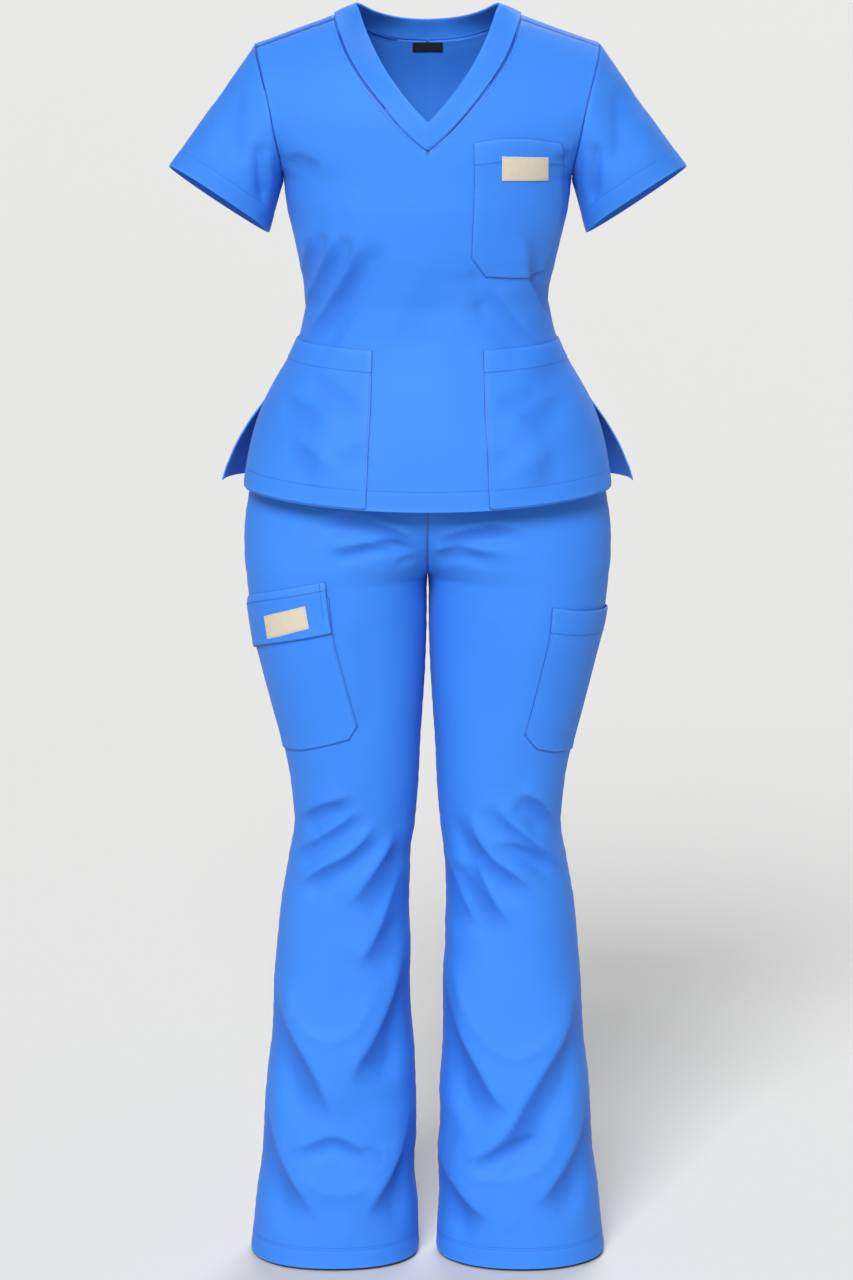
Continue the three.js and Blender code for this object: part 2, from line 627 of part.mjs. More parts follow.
// Rows of a sleeve from the armhole to the cuff.
function sleeveRows(sign) {
  const ring = armholeRing(sign);
  const lengths = [0];
  ring.forEach((p, i) => lengths.push(lengths[i] + p.distanceTo(ring[(i + 1) % ring.length])));
  const total = lengths.at(-1);
  const low = ring.findIndex((p) => p.z === Math.min(...ring.map((q) => q.z)));
  const shareLow = lengths[low] / total;
  const axis = new THREE.Vector3(CUFF.outZ * sign, 0, -CUFF.outX);
  const targets = ring.map((_, i) => {
    const share = lengths[i] / total;
    const angle = share < shareLow ? (share / shareLow) * Math.PI : Math.PI + ((share - shareLow) / (1 - shareLow)) * Math.PI;
    const across = CUFF.half * Math.cos(angle);
    const deep = Math.sign(Math.sin(angle)) * Math.abs(Math.sin(angle)) ** 0.95;
    const p = new THREE.Vector3(sign * (CUFF.x + across * CUFF.outX), -CUFF.depth * deep, CUFF.z + across * CUFF.outZ);
    return p.addScaledVector(axis, -CUFF.slant * deep);
  });
  const rows = Array.from({ length: SLEEVE_ROWS + 1 }, (_, i) => {
    const t = i / SLEEVE_ROWS;
    return ring.map((p, k) => {
      const made = p.clone().lerp(targets[k], t);
      const angle = (lengths[k] / total) * AROUND;
      const bulge = 5 * Math.sin(Math.PI * t) * Math.sin(angle);
      if (i > 0) made.y -= bulge;
      return made;
    });
  });
  return rows.map((row) => [...row, row[0]]);
}

// A ring of a leg at a height. "face" is the front or the back, the x of "sign" its side.
function legPoint(face, sign, z, t) {
  const out = at(LEGS, "out", z);
  const near = z >= CROTCH_Z ? 0 : at(LEGS, "in", z);
  const split = z >= CROTCH_Z ? at(LEGS, "split", z) : 1;
  const half = z >= CROTCH_Z ? out / (1 + split) : (out - near) / 2;
  const middle = out - half;
  const from = -Math.asin(clamp((z >= CROTCH_Z ? split : 1) ** (ROUND / 2)));
  const angle = mix(from, Math.PI / 2, t);
  const across = Math.sign(Math.sin(angle)) * Math.abs(Math.sin(angle)) ** (2 / ROUND);
  const deep = Math.max(0, Math.cos(angle)) ** (2 / ROUND) * at(LEGS, face, z);
  const x = t === 0 && z >= CROTCH_Z ? 0 : middle + half * across;
  return new THREE.Vector3(sign * x, t === 1 || (t === 0 && z <= CROTCH_Z) ? 0 : face === "front" ? -deep : deep, z);
}

// Points of a leg panel and how far each lies round the leg from the side seam.
function legRows(face, sign, heights) {
  const rows = heights.map((z) =>
    Array.from({ length: LEG_COLUMNS + 1 }, (_, j) => legPoint(face, sign, z, j / LEG_COLUMNS)),
  );
  const flats = rows.map((row) => {
    const spots = row.map((p) => [0, p.z]);
    for (let j = LEG_COLUMNS - 1; j >= 0; j -= 1) {
      const step = row[j].distanceTo(row[j + 1]);
      spots[j][0] = spots[j + 1][0] + (face === "front" ? step : -step);
    }
    return spots;
  });
  return { rows, flats };
}

// How far round the leg from the side seam a place of the front view lies.
function roundLeg(x, z) {
  const steps = Array.from({ length: 61 }, (_, i) => legPoint("front", 1, z, 1 - i / 60));
  let length = 0;
  for (let i = 1; i < steps.length; i += 1) {
    const [p, q] = [steps[i - 1], steps[i]];
    if (q.x <= Math.abs(x)) return length + p.distanceTo(q) * clamp((p.x - Math.abs(x)) / (p.x - q.x));
    length += p.distanceTo(q);
  }
  return length;
}

function outlineOnLeg(corners) {
  return corners.map(([x, z]) => [roundLeg(x, z), z]);
}

// Outline of a thigh pocket from its sizes.
function cargoOutline({ topZ, rearTopZ, frontTop, frontLow, sideZ, chamfer, chamferZ, floorZ }) {
  const front = outlineOnLeg([[frontTop, topZ], [frontLow, sideZ], [chamfer, chamferZ]]);
  const floor = roundLeg(Math.sign(chamfer) * 140, floorZ);
  return [...front, [floor, floorZ], [CARGO_REAR + 12, floorZ - 10], [CARGO_REAR, floorZ + 2], [CARGO_REAR, rearTopZ]];
}

function buildTop() {
  const cloth = new Cloth();
  for (const face of ["front", "back"]) {
    const turned = face === "back";
    cloth.grid(`top_${face}`, lowerRows(face), turned);
    cloth.grid(`top_${face}`, upperRows(face, 1).reverse(), turned);
    cloth.grid(`top_${face}`, upperRows(face, -1).reverse(), !turned);
  }
  cloth.grid("sleeve_left", sleeveRows(1), true);
  cloth.grid("sleeve_right", sleeveRows(-1), false);
  cloth.grid("neckband", bandRows(), false);
  cloth.fold((p) => foldRise(TOP_FOLDS, p.y <= 0 ? "front" : "back", p.x, p.z) * (Math.abs(p.x) > 190 ? 0 : 1));
  return cloth;
}

function buildTrousers() {
  const cloth = new Cloth();
  for (const [side, sign] of [["left", 1], ["right", -1]]) {
    for (const face of ["front", "back"]) {
      const turned = (face === "back") === (sign === 1);
      for (const [piece, heights] of [["waistband", WAIST_ROWS], [`trouser_${face}_${side}`, LEG_ROWS]]) {
        const { rows, flats } = legRows(face, sign, heights);
        cloth.grid(piece, rows, turned, flats);
      }
    }
  }
  cloth.fold((p) => foldRise(LEG_FOLDS, p.y <= 0 ? "front" : "back", p.x, p.z));
  return cloth;
}

const COLOURS = {
  cloth: { color: 0x4692f5, roughness: 0.78 },
  waist: { color: 0x3f88ea, roughness: 0.8 },
  patch: { color: 0xe9e2d3, roughness: 0.6 },
  label: { color: 0x17181b, roughness: 0.7 },
};

function node(name, geometry, colour) {
  const material = new THREE.MeshStandardMaterial({ ...COLOURS[colour], metalness: 0 });
  const mesh = new THREE.Mesh(geometry, material);
  mesh.name = name;
  return mesh;
}

const top = buildTop();
const trousers = buildTrousers();
const group = new THREE.Group();

const isBody = (piece) => !piece.startsWith("sleeve");
for (const name of ["top_front", "top_back"]) {
  group.add(node(name, wall(top.layer(name, isBody), -WALL, 0), "cloth"));
}
for (const name of ["sleeve_right", "sleeve_left"]) {
  group.add(node(name, wall(top.layer(name, (piece) => piece === name), -WALL, 0), "cloth"));
}
group.add(node("neckband", wall(top.layer("neckband", isBody), -WALL - 0.6, 0.4), "cloth"));
for (const side of ["right", "left"]) {
  for (const face of ["front", "back"]) {
    const name = `trouser_${face}_${side}`;
    group.add(node(name, wall(trousers.layer(name), -WALL, 0), "cloth"));
  }
}
group.add(node("waistband", wall(trousers.layer("waistband"), -WALL - 0.6, 0.4), "waist"));

// Layers of what lies on the panels, as distances from the panel
const ON = SEAM_GAP;
const OVER = ON + POCKET_WALL + SEAM_GAP;
const mirror = (outline) => outline.map(([x, z]) => [-x, z]);

group.add(node("neck_label", wall(top.cut(["top_back"], NECK_LABEL), -WALL - ON - PATCH_WALL, -WALL - ON), "label"));
group.add(node("chest_pocket", wall(top.cut(["top_front"], CHEST_POCKET), ON, ON + POCKET_WALL), "cloth"));
group.add(node("chest_patch", wall(top.cut(["top_front"], CHEST_PATCH), OVER, OVER + PATCH_WALL), "patch"));
group.add(node("waist_pocket_left", wall(top.cut(["top_front"], WAIST_POCKET), ON, ON + POCKET_WALL), "cloth"));
group.add(node("waist_pocket_right", wall(top.cut(["top_front"], mirror(WAIST_POCKET)), ON, ON + POCKET_WALL), "cloth"));

const rightLeg = ["trouser_front_right", "trouser_back_right"];
const leftLeg = ["trouser_front_left", "trouser_back_left"];
group.add(node("cargo_pocket_left", wall(trousers.cut(leftLeg, cargoOutline(CARGO_LEFT)), ON, ON + POCKET_WALL), "cloth"));
group.add(node("cargo_pocket_right", wall(trousers.cut(rightLeg, cargoOutline(CARGO_RIGHT)), ON, ON + POCKET_WALL), "cloth"));

// The flap starts on the thigh above the pocket and lies over it.
const flapTop = roundLeg(FLAP.top, FLAP.topZ);
const flapLow = roundLeg(FLAP.low, FLAP.lowZ);
const flapOutline = [[flapTop, FLAP.topZ], [flapLow, FLAP.lowZ], [CARGO_REAR - 4, FLAP.rearLowZ], [CARGO_REAR - 4, FLAP.rearTopZ]];
const flapEdgeZ = (u) => mix(FLAP.rearTopZ, FLAP.topZ, (u - CARGO_REAR) / (flapTop - CARGO_REAR));
const flapLift = ([u, z]) => mix(ON, OVER, smooth((flapEdgeZ(u) - z) / 8));
group.add(node("cargo_flap_right", wall(trousers.cut(rightLeg, flapOutline), flapLift, (f) => flapLift(f) + POCKET_WALL), "cloth"));
const patchLift = OVER + POCKET_WALL + SEAM_GAP;
group.add(node("cargo_patch_right", wall(trousers.cut(rightLeg, outlineOnLeg(FLAP_PATCH)), patchLift, patchLift + PATCH_WALL), "patch"));

export default group;
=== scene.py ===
"""Medical scrubs, a V-neck top over flared trousers, dressed on the frame of their solids.

Everything is worked out in millimetres, with X to the wearer's left, the front facing -Y and +Z up,
and is turned to metres when a mesh is made. The origin lies between the shoulder seams.
"""

from __future__ import annotations

import json
import logging
import math
from dataclasses import dataclass, field
from enum import Enum
from typing import Any, Callable, Sequence

import bpy
import numpy as np
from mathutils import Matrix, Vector
from mathutils.bvhtree import BVHTree

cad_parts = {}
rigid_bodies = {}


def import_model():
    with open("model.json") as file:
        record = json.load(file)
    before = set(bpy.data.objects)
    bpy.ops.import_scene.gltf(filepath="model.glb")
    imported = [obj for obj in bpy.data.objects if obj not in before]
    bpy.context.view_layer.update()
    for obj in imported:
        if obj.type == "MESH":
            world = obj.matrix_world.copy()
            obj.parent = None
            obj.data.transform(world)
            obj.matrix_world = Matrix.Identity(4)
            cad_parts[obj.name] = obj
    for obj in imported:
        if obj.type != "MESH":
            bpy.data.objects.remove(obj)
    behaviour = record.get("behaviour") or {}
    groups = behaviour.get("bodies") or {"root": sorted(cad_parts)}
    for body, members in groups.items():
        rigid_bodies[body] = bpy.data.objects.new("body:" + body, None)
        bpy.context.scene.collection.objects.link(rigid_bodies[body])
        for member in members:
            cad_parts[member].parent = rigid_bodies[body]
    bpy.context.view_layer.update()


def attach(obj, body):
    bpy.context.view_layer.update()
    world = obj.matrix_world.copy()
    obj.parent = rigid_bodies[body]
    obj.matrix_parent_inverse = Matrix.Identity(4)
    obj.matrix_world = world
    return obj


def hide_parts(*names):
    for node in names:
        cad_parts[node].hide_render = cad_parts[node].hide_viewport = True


LOG = logging.getLogger("scrubs")

MM = 0.001
ROUND = 2.2  # exponent of the rounded oblong that a section of the garment follows
QUARTER = math.pi / 2
CLOTH_WALL = 1.2  # thickness that a panel is drawn with, its two turned edges included
SEAM_PULL = 0.05  # each panel ends this far from the middle of its seam
CELL = 3.3  # usual distance between two points of the cloth
SEAM_SHADE = 0.85  # reach of the line of painted shade along a sewn edge
FALL_GAIN = 1.9  # folds that fall away stand out more here than on the coarser solids
CREST = 0.25  # radius of the crest of a fold, as a share of its width

NECK_HALF = 101.7
RIDGE_Z = 11.8
RIDGE_FALL = 0.361
SEAM_DROP = 3.5
SHOULDER_ROUND = 170.0
UNDERARM_Z = -168.0
VENT_Z = -403.0
TOP_HEM_Z = -504.0
CROTCH_Z = -605.0
LEG_HEM_Z = -1390.0

Array = np.ndarray
Place = Sequence[float]


class Face(Enum):
    """Side of the garment that a panel lies on."""

    FRONT = "front"
    BACK = "back"

    @property
    def sign(self) -> float:
        """Direction of Y on which this side lies."""
        return -1.0 if self is Face.FRONT else 1.0


class Side(Enum):
    """Side of the wearer's body."""

    LEFT = "left"
    RIGHT = "right"

    @property
    def sign(self) -> float:
        """Direction of X on which this side lies."""
        return 1.0 if self is Side.LEFT else -1.0


def mix(a: Any, b: Any, t: Any) -> Any:
    """Value between a and b by the share t."""
    return a + (b - a) * t


def smooth(t: Any) -> Array:
    """Soft step of t from 0 to 1."""
    s = np.clip(t, 0.0, 1.0)
    return s * s * (3 - 2 * s)


def bell(distance: Any, width: float) -> Array:
    """Soft bump of height 1 at no distance."""
    return np.exp(-((distance / width) ** 2))


def steps(length: float, cell: float = CELL, near: Sequence[float] = (), far: Sequence[float] = ()) -> Array:
    """Shares of a length where the points of a grid lie.

    Args:
        length: the length in millimetres.
        cell: the usual distance between two points.
        near: extra distances from the start.
        far: extra distances from the end.

    Returns:
        Rising shares from 0 to 1.
    """
    even = np.linspace(0.0, length, max(2, int(round(length / cell)) + 1))
    extra = np.array([*near, *(length - distance for distance in far)])
    if len(extra):
        keep = np.abs(even[:, None] - extra[None]).min(axis=1) > 0.4 * cell
        keep[[0, -1]] = True
        even = even[keep]
    spots = np.concatenate([even, extra])
    return np.unique(np.round(spots / length, 6))


class Profile:
    """Columns of measures by height, smooth from row to row."""

    def __init__(self, names: str, rows: Sequence[Sequence[float]]) -> None:
        """Reads a table whose first column is the height, highest first.

        Args:
            names: the names of the other columns.
            rows: the rows of the table.
        """
        table = np.array(rows, float).T
        self.z = table[0]
        self.columns = dict(zip(names.split(), table[1:]))
        self.slopes = {name: self._slopes(values) for name, values in self.columns.items()}

    def _slopes(self, values: Array) -> Array:
        """Slope of a column at each row, flat where it turns."""
        pitch = np.diff(values) / np.diff(self.z)
        before, after = pitch[:-1], pitch[1:]
        same = before * after > 0
        slope = np.empty_like(values)
        slope[0], slope[-1] = pitch[0], pitch[-1]
        slope[1:-1] = np.where(same, 2 * before * after / np.where(same, before + after, 1.0), 0.0)
        return slope

    def at(self, name: str, z: Any) -> Array:
        """Value of a column at one or more heights."""
        z = np.clip(np.asarray(z, float), self.z[-1], self.z[0])
        i = np.clip(np.searchsorted(-self.z, -z, side="right") - 1, 0, len(self.z) - 2)
        values, slopes = self.columns[name], self.slopes[name]
        gap = self.z[i + 1] - self.z[i]
        t = (z - self.z[i]) / gap
        rise = values[i + 1] - values[i]
        start, end = slopes[i] * gap, slopes[i + 1] * gap
        return values[i] + t * (start + t * (3 * rise - 2 * start - end + t * (start + end - 2 * rise)))


class Path:
    """A curve through points, read by the share of its length."""

    def __init__(self, points: Sequence[Place], soft: bool = True) -> None:
        """Fits the curve.

        Args:
            points: the places that it passes through.
            soft: whether it bends smoothly between them, or runs straight.
        """
        knots = np.array(points, float)
        if soft and len(knots) > 2:
            knots = self._bent(knots)
        self.points = knots
        lengths = np.linalg.norm(np.diff(knots, axis=0), axis=1)
        self.run = np.concatenate([[0.0], np.cumsum(lengths)])
        self.length = float(self.run[-1])

    @staticmethod
    def _bent(knots: Array) -> Array:
        """Points of a centripetal spline through the knots."""
        ends = np.vstack([2 * knots[0] - knots[1], knots, 2 * knots[-1] - knots[-2]])
        made = []
        for a, b, c, d in zip(ends[:-3], ends[1:-2], ends[2:-1], ends[3:]):
            first, second, third = (max(1e-6, float(np.linalg.norm(q - p)) ** 0.5) for p, q in ((a, b), (b, c), (c, d)))
            start = ((b - a) / first - (c - a) / (first + second) + (c - b) / second) * second
            end = ((c - b) / second - (d - b) / (second + third) + (d - c) / third) * second
            t = np.linspace(0, 1, 25)[:-1, None]
            made.append(b + t * (start + t * (3 * (c - b) - 2 * start - end + t * (start + end - 2 * (c - b)))))
        return np.vstack([*made, knots[-1:]])

    def corners(self, length: float) -> list[float]:
        """Distances of its corners, where it turns sharply, if its whole length were the one given."""
        turns = np.diff(self.points, axis=0) / np.maximum(np.diff(self.run), 1e-9)[:, None]
        sharp = np.nonzero(np.sum(turns[1:] * turns[:-1], axis=1) < 0.93)[0] + 1
        return [float(self.run[i] / self.length * length) for i in sharp]

    def at(self, share: Any) -> Array:
        """Points at one or more shares of the length."""
        spot = np.asarray(share, float) * self.length
        return np.stack([np.interp(spot, self.run, column) for column in self.points.T], axis=-1)


@dataclass(frozen=True)
class Fold:
    """A crease of the cloth along a path of x, z places in the front view.

    Attributes:
        face: the side that it lies on.
        both: whether the other half of that side has it too, mirrored.
        rise: height of the ridge, below 0 for a trough.
        width: distance at which it has mostly run out.
        path: the places that it passes through.
        fall: side of the path, seen from the front, on which the cloth falls away steeply and then
            comes back slowly: 1 for the right, -1 for the left, 0 for a ridge with two like flanks.
    """

    face: str
    both: bool
    rise: float
    width: float
    path: Sequence[Place]
    fall: int = 0

    def height(self, x: Array, z: Array) -> tuple[Array, Array]:
        """Height of the fold at places of the front view, and how much shade is painted there."""
        total, shade = np.zeros_like(x), np.zeros_like(x)
        knots = Path(self.path).points[::5]
        reach = 3.6 * self.width
        for sign in (1.0, -1.0) if self.both else (1.0,):
            own = x * sign
            low, high = knots.min(axis=0) - reach, knots.max(axis=0) + reach
            inside = (own > low[0]) & (own < high[0]) & (z > low[1]) & (z < high[1])
            if inside.any():
                height, dark = self._on(knots, own[inside], z[inside])
                total[inside] += height
                shade[inside] = np.maximum(shade[inside], dark)
        return total, shade

    def _on(self, knots: Array, x: Array, z: Array) -> tuple[Array, Array]:
        """Height and painted shade at places near the fold."""
        best = np.full(x.shape, 1e9)
        share, side = np.zeros_like(x), np.zeros_like(x)
        spans = len(knots) - 1
        for i in range(spans):
            (ax, az), (bx, bz) = knots[i], knots[i + 1]
            dx, dz = bx - ax, bz - az
            size = math.hypot(dx, dz) or 1e-9
            t = np.clip(((x - ax) * dx + (z - az) * dz) / size**2, 0, 1)
            offX, offZ = x - ax - dx * t, z - az - dz * t
            distance = np.hypot(offX, offZ)
            nearer = distance < best
            best = np.where(nearer, distance, best)
            share = np.where(nearer, (i + t) / spans, share)
            side = np.where(nearer, (offX * dz - offZ * dx) / size, side)
        crest = CREST * self.width
        reach = (np.hypot(best, crest) - crest) / self.width
        shape = np.exp(-reach / 0.8) * 1.3
        ends = smooth(share * 6) * smooth((1 - share) * 3.5)
        # shade painted into the colour of a trough
        shade = np.zeros_like(x) if self.rise > 0 else 0.35 * bell(best, 0.9 * self.width)
        if self.fall:
            flat = smooth(0.5 + 0.5 * side * self.fall / crest)
            shape = mix(0.35 * np.exp(-reach / 1.5), 0.35 - (1 - np.exp(-reach / 0.9)), flat) * FALL_GAIN
            # shade painted on the flank where the cloth falls away
            shade = smooth(side * self.fall / crest - 0.2) * bell(best, 1.7 * self.width)
        height = self.rise * (0.08 + 0.92 * ends) * shape * smooth(2 - best / (1.8 * self.width))
        return height, shade * smooth(share * 3) * smooth((1 - share) * 3) * smooth(abs(self.rise) / 6)


def fold_rise(folds: Sequence[Fold], face: Face, x: Array, z: Array) -> Array:
    """Height of all the folds of one side at places of the front view, and the deepest painted shade there."""
    heights, shades = zip(*(fold.height(x, z) for fold in folds if fold.face == face.value))
    return np.stack([np.sum(heights, axis=0), np.max(shades, axis=0)])


def unevenness(x: Array, z: Array, face: Face) -> Array:
    """Slow waves of a few tenths of a millimetre that keep the cloth from lying dead even."""
    turn = 0.7 if face is Face.FRONT else 2.9
    return (
        0.42 * np.sin(x / 23 + z / 61 + turn)
        + 0.36 * np.sin(x / 37 - z / 29 + 1.3 * turn)
        + 0.24 * np.sin(z / 17 + x / 71 + 2.1 * turn)
    )


@dataclass
class Grid:
    """Rows of points of one piece of cloth.

    Attributes:
        piece: name of the piece.
        points: rows by columns of places in space.
        flats: the same places on the laid-out cloth.
        turned: whether the columns run the other way round the garment.
    """

    piece: str
    points: Array
    flats: Array
    turned: bool


class Cloth:
    """Pieces of cloth that share the points of their seams."""

    def __init__(self) -> None:
        """Starts with no pieces."""
        self.grids: list[Grid] = []

    def add(self, piece: str, points: Array, flats: Array, turned: bool = False) -> None:
        """Adds rows of points to a piece."""
        self.grids.append(Grid(piece, points, flats, turned))

    def join(self) -> None:
        """Merges the points that pieces share and lists all the faces."""
        stack = np.concatenate([grid.points.reshape(-1, 3) for grid in self.grids])
        keys = np.round(stack * 200 + 0.137).astype(np.int64)
        _, first, inverse = np.unique(keys, axis=0, return_index=True, return_inverse=True)
        inverse = inverse.ravel()
        self.points = stack[first].copy()
        faces, corners, owners = [], [], []
        offset = 0
        for grid in self.grids:
            rows, columns = grid.points.shape[:2]
            ids = inverse[offset : offset + rows * columns].reshape(rows, columns)
            offset += rows * columns
            order = [(0, 0), (0, 1), (1, 1), (1, 0)] if grid.turned else [(0, 0), (1, 0), (1, 1), (0, 1)]
            cut = [(slice(a, rows - 1 + a), slice(b, columns - 1 + b)) for a, b in order]
            faces.append(np.stack([ids[c] for c in cut], axis=-1).reshape(-1, 4))
            corners.append(np.stack([grid.flats[c] for c in cut], axis=-2).reshape(-1, 4, 2))
            owners += [grid.piece] * len(faces[-1])
        self.faces = np.concatenate(faces)
        self.corners = np.concatenate(corners)
        self.owner = np.array(owners)
        self.normals = self.normals_of()

    def normals_of(self, pieces: Sequence[str] | None = None) -> Array:
        """Outward direction at each point, averaged over the faces round it.

        Args:
            pieces: the pieces whose faces count, or None for all.

        Returns:
            A unit vector for each point.
        """
        faces = self.faces if pieces is None else self.faces[np.isin(self.owner, pieces)]
        a, b, c, d = (self.points[faces[:, k]] for k in range(4))
        across = np.cross(c - a, d - b)
        total = np.zeros_like(self.points)
        for k in range(4):
            np.add.at(total, faces[:, k], across)
        return total / np.maximum(np.linalg.norm(total, axis=1, keepdims=True), 1e-12)

    def fold(self, rise: Callable[[Array], Array]) -> None:
        """Moves each point along its direction by the rise there, least at the sides, and keeps the shade painted
        there.
        """
        height, self.shade = rise(self.points)
        height *= 1 - 0.75 * smooth((np.abs(self.normals[:, 0]) - 0.62) / 0.32)
        self.points = self.points + self.normals * height[:, None]
        self.normals = self.normals_of()

    def layer(self, piece: str, group: Sequence[str] | None = None) -> Layer:
        """Takes out the faces of a piece, its seam edges drawn in a little.

        Args:
            piece: the piece.
            group: the pieces whose faces set the directions along its seams.

        Returns:
            The piece as a layer of its own.
        """
        mine = self.owner == piece
        faces, corners = self.faces[mine], self.corners[mine]
        used, local = np.unique(faces, return_inverse=True)
        local = local.reshape(faces.shape)
        shared = np.isin(used, self.faces[~mine])
        points, normals = self.points[used].copy(), self.normals_of(group)[used]
        flats = np.zeros((len(used), 2))
        flats[local.ravel()] = corners.reshape(-1, 2)
        inward = np.zeros_like(points)
        centre = points[local].mean(axis=1)
        for k in range(4):
            np.add.at(inward, local[:, k], centre - points[local[:, k]])
        inward -= normals * np.sum(inward * normals, axis=1, keepdims=True)
        inward /= np.maximum(np.linalg.norm(inward, axis=1, keepdims=True), 1e-9)
        seam, free = self._distances(local, points, shared)
        points[shared] += inward[shared] * SEAM_PULL
        return Layer(points, normals, local, corners, flats, seam, free, self.shade[used])

    @staticmethod
    def _distances(faces: Array, points: Array, shared: Array) -> tuple[Array, Array]:
        """Distance of each point to the seams and to the free edges of its piece."""
        edges = np.concatenate([faces[:, [k, (k + 1) % 4]] for k in range(4)])
        edges = edges[edges[:, 0] != edges[:, 1]]
        keys, count = np.unique(np.sort(edges, axis=1), axis=0, return_counts=True)
        rim = keys[count == 1]
        sewn = shared[rim].all(axis=1)
        return tuple(nearest_of(points, points[np.unique(rim[part])]) for part in (sewn, ~sewn))


def nearest_of(points: Array, others: Array) -> Array:
    """Distance of each point to the nearest of others, far where there are none."""
    best = np.full(len(points), 1e3)
    for start in range(0, len(others), 64):
        batch = others[start : start + 64]
        gap = np.linalg.norm(points[:, None] - batch[None], axis=2).min(axis=1)
        best = np.minimum(best, gap)
    return best


@dataclass
class Layer:
    """A piece of cloth as one layer of points.

    Attributes:
        points: places in space.
        normals: outward directions.
        faces: corners of the faces.
        corners: places of the corners on the laid-out cloth.
        flats: places of the points on the laid-out cloth.
        seam: distance of each point to the nearest seam.
        free: distance of each point to the nearest free edge.
        shade: how much shade of a fold is painted on each point, from 0 to 1.
    """

    points: Array
    normals: Array
    faces: Array
    corners: Array
    flats: Array
    seam: Array
    free: Array
    shade: Array


class Lay:
    """The laid-out form of some pieces, to find where a place on it lies in space."""

    def __init__(self, cloth: Cloth, pieces: Sequence[str]) -> None:
        """Spreads out the faces of the pieces."""
        mine = np.isin(cloth.owner, pieces)
        corners = cloth.corners[mine]
        ids = cloth.faces[mine]
        halves = ([0, 1, 2], [0, 2, 3])
        self.flat = np.concatenate([corners[:, h] for h in halves])
        self.ids = np.concatenate([ids[:, h] for h in halves])
        edge1, edge2 = self.flat[:, 1] - self.flat[:, 0], self.flat[:, 2] - self.flat[:, 0]
        keep = np.abs(edge1[:, 0] * edge2[:, 1] - edge1[:, 1] * edge2[:, 0]) > 1e-4
        self.flat, self.ids = self.flat[keep], self.ids[keep]
        self.cloth = cloth
        spots = [Vector((float(a), float(b), 0.0)) for a, b in self.flat.reshape(-1, 2)]
        faces = [(3 * i, 3 * i + 1, 3 * i + 2) for i in range(len(self.flat))]
        self.tree = BVHTree.FromPolygons(spots, faces)

    def at(self, places: Array) -> tuple[Array, Array]:
        """Points and outward directions at places on the laid-out cloth."""
        return self.all_at(places)[:2]

    def all_at(self, places: Array) -> tuple[Array, Array, Array]:
        """Points, outward directions and painted shades at places on the laid-out cloth."""
        found = [self.tree.find_nearest(Vector((float(a), float(b), 0.0))) for a, b in places]
        index = np.array([hit[2] for hit in found])
        spot = np.array([hit[0][:2] for hit in found])
        a, b, c = (self.flat[index, k] for k in range(3))
        whole = (b[:, 0] - a[:, 0]) * (c[:, 1] - a[:, 1]) - (b[:, 1] - a[:, 1]) * (c[:, 0] - a[:, 0])
        second = ((spot[:, 0] - a[:, 0]) * (c[:, 1] - a[:, 1]) - (spot[:, 1] - a[:, 1]) * (c[:, 0] - a[:, 0])) / whole
        third = ((b[:, 0] - a[:, 0]) * (spot[:, 1] - a[:, 1]) - (b[:, 1] - a[:, 1]) * (spot[:, 0] - a[:, 0])) / whole
        weights = np.stack([1 - second - third, second, third], axis=1)[..., None]
        points = (self.cloth.points[self.ids[index]] * weights).sum(axis=1)
        normals = (self.cloth.normals[self.ids[index]] * weights).sum(axis=1)
        shade = (self.cloth.shade[self.ids[index]] * weights[..., 0]).sum(axis=1)
        return points, normals / np.maximum(np.linalg.norm(normals, axis=1, keepdims=True), 1e-9), shade


# Finishes


def linear(colour: str) -> tuple[float, float, float, float]:
    """Turns an sRGB hex colour to linear with full alpha."""
    parts = [int(colour[i : i + 2], 16) / 255 for i in (1, 3, 5)]
    return (*(c / 12.92 if c <= 0.04045 else ((c + 0.055) / 1.055) ** 2.4 for c in parts), 1.0)


def add(
    material: bpy.types.Material | bpy.types.World,
    kind: str,
    settings: dict[Any, Any] | None = None,
    links: dict[Any, bpy.types.NodeSocket] | None = None,
) -> bpy.types.Node:
    """Adds a node to a material or to the surroundings.

    Args:
        material: the material or world.
        kind: the type of node.
        settings: inputs or properties by name, and their values.
        links: inputs by name, and the outputs that feed them.

    Returns:
        The node.
    """
    made = material.node_tree.nodes.new(kind)
    properties = {key: value for key, value in (settings or {}).items() if isinstance(key, str) and hasattr(made, key)}
    for key, value in properties.items():
        setattr(made, key, value)
    for key, value in (settings or {}).items():
        if key not in properties:
            made.inputs[key].default_value = value
    for key, output in (links or {}).items():
        material.node_tree.links.new(output, made.inputs[key])
    return made


def empty_material(name: str) -> bpy.types.Material:
    """Makes a material with no nodes yet."""
    material = bpy.data.materials.new(name)
    material.use_nodes = True
    material.node_tree.nodes.clear()
    return material


